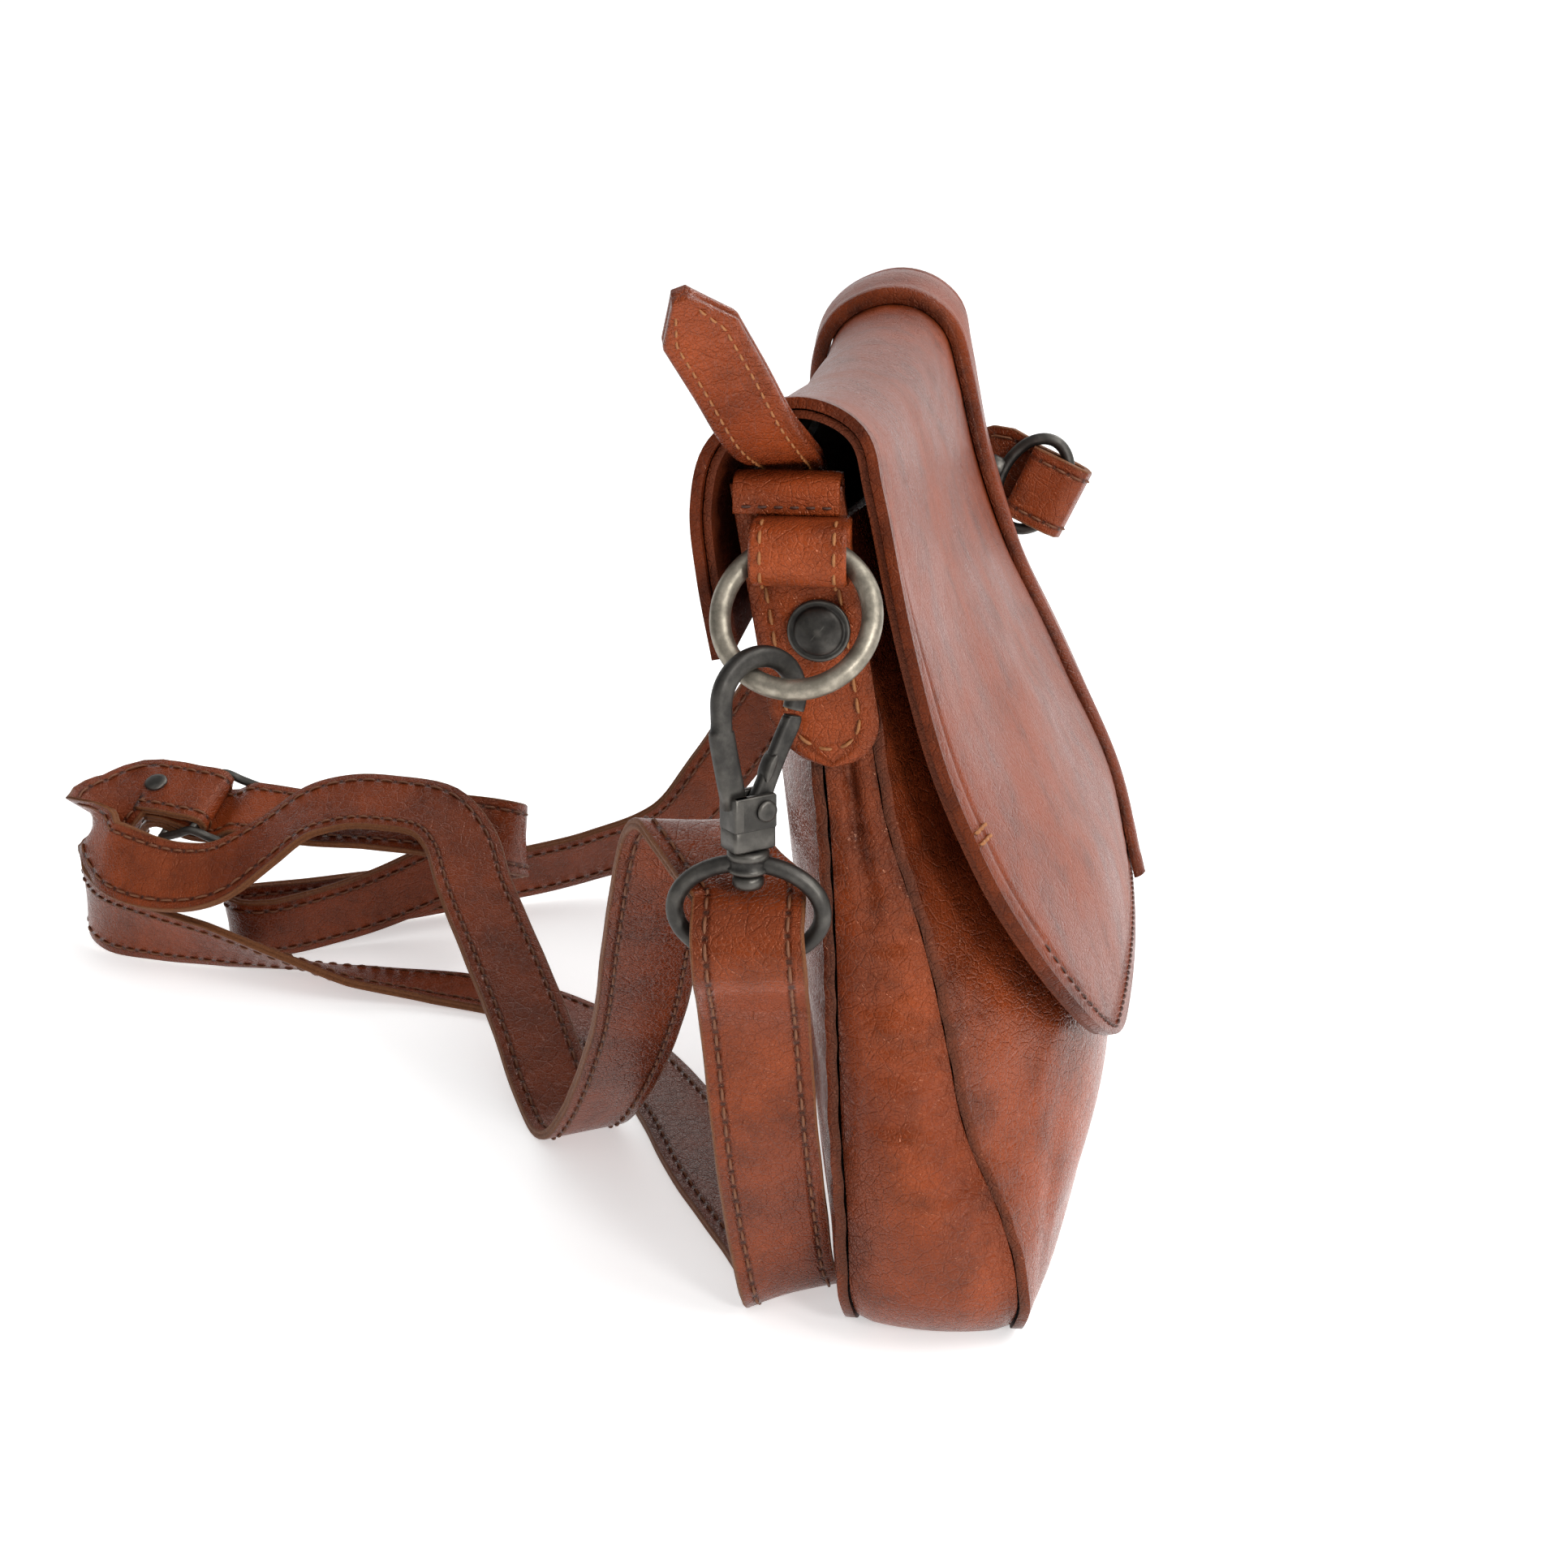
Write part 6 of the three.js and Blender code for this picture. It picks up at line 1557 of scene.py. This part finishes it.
def build_stage(look):
    """Floor with its backdrop: flat, then a quarter circle up to a wall; lights and camera."""
    turn = np.linspace(0, math.pi / 2, 25)
    run = np.concatenate([[-9000.0, 0.0], 2500 + 1500 * np.sin(turn), [4000.0]])
    rise = np.concatenate([[0.0, 0.0], 1500 * (1 - np.cos(turn)), [4500.0]])
    sides = np.linspace(-9000, 9000, 5)
    grid = np.stack(np.broadcast_arrays(run[:, None], sides[None, :], rise[:, None]), -1)
    faces = quads(len(run), len(sides))[:, ::-1].tolist()
    floor = new_mesh("studio_floor", grid.reshape(-1, 3), faces)
    floor.data.materials.append(plain_material("studio floor white", (0.9, 0.9, 0.9), 0.6, 0.5))
    world = bpy.data.worlds.new("studio")
    bpy.context.scene.world = world
    world.use_nodes = True
    background = world.node_tree.nodes["Background"]
    background.inputs["Color"].default_value = (1, 1, 1, 1)
    background.inputs["Strength"].default_value = look.world_strength
    for name, place, size, power in (
            ("key", (-500, -900, 1100), 900, look.key_power),
            ("fill", (-900, 700, 700), 900, look.key_power * 0.12),
            ("rim", (700, -500, 900), 700, look.key_power * 0.5),
            ("strip", (-800, -500, 420), 180, look.key_power * 0.34)):
        light = bpy.data.lights.new(name, "AREA")
        light.energy = power
        light.size = size * MM
        holder = bpy.data.objects.new(name, light)
        holder.location = Vector(place) * MM
        holder.rotation_euler = (Vector((0, 40,
                                         90)) * MM - holder.location).to_track_quat("-Z", "Y").to_euler()
        bpy.context.scene.collection.objects.link(holder)
    sun = bpy.data.lights.new("even daylight", "SUN")
    sun.energy = 0.8
    sun.angle = math.radians(80)
    holder = bpy.data.objects.new("even daylight", sun)
    holder.rotation_euler = Vector((-0.35, -0.3, 1)).to_track_quat("Z", "Y").to_euler()
    bpy.context.scene.collection.objects.link(holder)
    camera = bpy.data.cameras.new("camera")
    camera.lens = CAMERA_LENS
    camera.sensor_width = 36
    camera.clip_start = 0.01
    holder = bpy.data.objects.new("camera", camera)
    ahead = Vector((math.cos(CAMERA_YAW) * math.cos(CAMERA_DOWN),
                    math.sin(CAMERA_YAW) * math.cos(CAMERA_DOWN),
                    -math.sin(CAMERA_DOWN)))
    holder.location = Vector(CAMERA_PLACE) * MM
    holder.rotation_euler = ahead.to_track_quat("-Z", "Y").to_euler()
    bpy.context.scene.collection.objects.link(holder)
    bpy.context.scene.camera = holder
    bpy.context.scene.view_settings.view_transform = "Standard"


def require_new(before, label):
    if len(bpy.data.objects) <= before:
        raise RuntimeError(label + " made no objects")


class BagLook(bpy.types.PropertyGroup):
    """Sizes, colours and light that a user may change"""
    leather_colour: FloatVectorProperty(name="Leather", description="Main colour of the leather",
                                        subtype="COLOR",
                                        size=3, min=0, max=1, default=(0.15, 0.025, 0.007))
    leather_light: FloatVectorProperty(name="Light leather", description="Colour of the lighter clouds",
                                       subtype="COLOR",
                                       size=3, min=0, max=1, default=(0.27, 0.048, 0.011))
    # the dark colour is also the colour of the painted shade on the body, flap and tab
    leather_dark: FloatVectorProperty(name="Dark leather",
                                      description="Colour of seams and burnished edges",
                                      subtype="COLOR", size=3, min=0, max=1, default=(0.022, 0.0035, 0.002))
    leather_roughness: FloatProperty(name="Roughness", description="Roughness of the leather", min=0, max=1,
                                     default=0.22)
    stitch_pitch: FloatProperty(name="Stitch pitch",
                                description="Millimetres from one strap stitch to the next",
                                min=2, max=10, default=4.4)
    stitch_radius: FloatProperty(name="Thread radius",
                                 description="Radius of the strap's thread in millimetres",
                                 min=0.1, max=0.6, default=0.34)
    crease_count: IntProperty(name="Creases", description="Number of short creases across the gusset",
                              min=0,
                              max=80, default=38)
    crease_depth: FloatProperty(name="Crease depth",
                                description="Depth of the deepest crease in millimetres",
                                min=0, max=1.2, default=0.75)
    key_power: FloatProperty(name="Key light", description="Power of the main light", unit="POWER", min=0,
                             default=11.0)
    world_strength: FloatProperty(name="Surround", description="Strength of the white surround", min=0,
                                  default=0.2)


class BAG_OT_materials(bpy.types.Operator):
    """Makes the leather, thread and metal materials"""
    bl_idname = "bag.materials"
    bl_label = "Materials"

    def execute(self, context):
        make_materials(context.scene.bag_look)
        return {"FINISHED"}


class BAG_OT_body(bpy.types.Operator):
    """Builds the front and back panels and the gusset"""
    bl_idname = "bag.body"
    bl_label = "Body"

    def execute(self, context):
        before = len(bpy.data.objects)
        build_panel("front")
        build_panel("back")
        look = context.scene.bag_look
        build_gusset(look.crease_count, look.crease_depth)
        require_new(before, self.bl_label)
        return {"FINISHED"}


class BAG_OT_flap(bpy.types.Operator):
    """Builds the flap, its facing, the wave panel and their stitches"""
    bl_idname = "bag.flap"
    bl_label = "Flap"

    def execute(self, context):
        before = len(bpy.data.objects)
        build_flap()
        build_wave_panel()
        build_flap_stitches()
        require_new(before, self.bl_label)
        return {"FINISHED"}


class BAG_OT_sides(bpy.types.Operator):
    """Builds the tabs, caps, ring loops, rings and studs of both sides"""
    bl_idname = "bag.sides"
    bl_label = "Side fittings"

    def execute(self, context):
        before = len(bpy.data.objects)
        for side, label in ((-1, "near"), (1, "far")):
            build_tab(side, label)
            build_cap(side, label)
            build_ring_loop(side, label)
            build_ring(side, label)
            build_stud(side, label)
        require_new(before, self.bl_label)
        return {"FINISHED"}


class BAG_OT_clasps(bpy.types.Operator):
    """Builds the near clasp with its gate and eye, and the far clasp"""
    bl_idname = "bag.clasps"
    bl_label = "Clasps"

    def execute(self, context):
        before = len(bpy.data.objects)
        build_clasp()
        build_clasp_eye()
        build_far_clasp()
        require_new(before, self.bl_label)
        return {"FINISHED"}


class BAG_OT_strap(bpy.types.Operator):
    """Builds the strap with its stitches, the slider and the zip's end tab"""
    bl_idname = "bag.strap"
    bl_label = "Strap"

    def execute(self, context):
        before = len(bpy.data.objects)
        build_slider()
        look = context.scene.bag_look
        build_strap(look.stitch_pitch, look.stitch_radius)
        build_zip_tab()
        require_new(before, self.bl_label)
        return {"FINISHED"}


class BAG_OT_stage(bpy.types.Operator):
    """Builds the floor, the lights and the camera"""
    bl_idname = "bag.stage"
    bl_label = "Stage"

    def execute(self, context):
        before = len(bpy.data.objects)
        build_stage(context.scene.bag_look)
        require_new(before, self.bl_label)
        return {"FINISHED"}


STEPS = (BAG_OT_stage, BAG_OT_materials, BAG_OT_body, BAG_OT_flap, BAG_OT_sides, BAG_OT_clasps,
         BAG_OT_strap)


class BAG_PT_panel(bpy.types.Panel):
    """Lists the steps and the look settings"""
    bl_idname = "BAG_PT_panel"
    bl_label = "Shoulder bag"
    bl_space_type = "VIEW_3D"
    bl_region_type = "UI"
    bl_category = "Bag"

    def draw(self, context):
        for step in STEPS:
            self.layout.operator(step.bl_idname)
        for name in BagLook.__annotations__:
            self.layout.prop(context.scene.bag_look, name)


CLASSES = (BagLook, *STEPS, BAG_PT_panel)


def register():
    for cls in CLASSES:
        bpy.utils.register_class(cls)
    bpy.types.Scene.bag_look = PointerProperty(type=BagLook)


def unregister():
    del bpy.types.Scene.bag_look
    for cls in reversed(CLASSES):
        bpy.utils.unregister_class(cls)


def main():
    register()
    for step in STEPS:
        group, name = step.bl_idname.split(".")
        getattr(getattr(bpy.ops, group), name)()


if __name__ == "__main__":
    main()
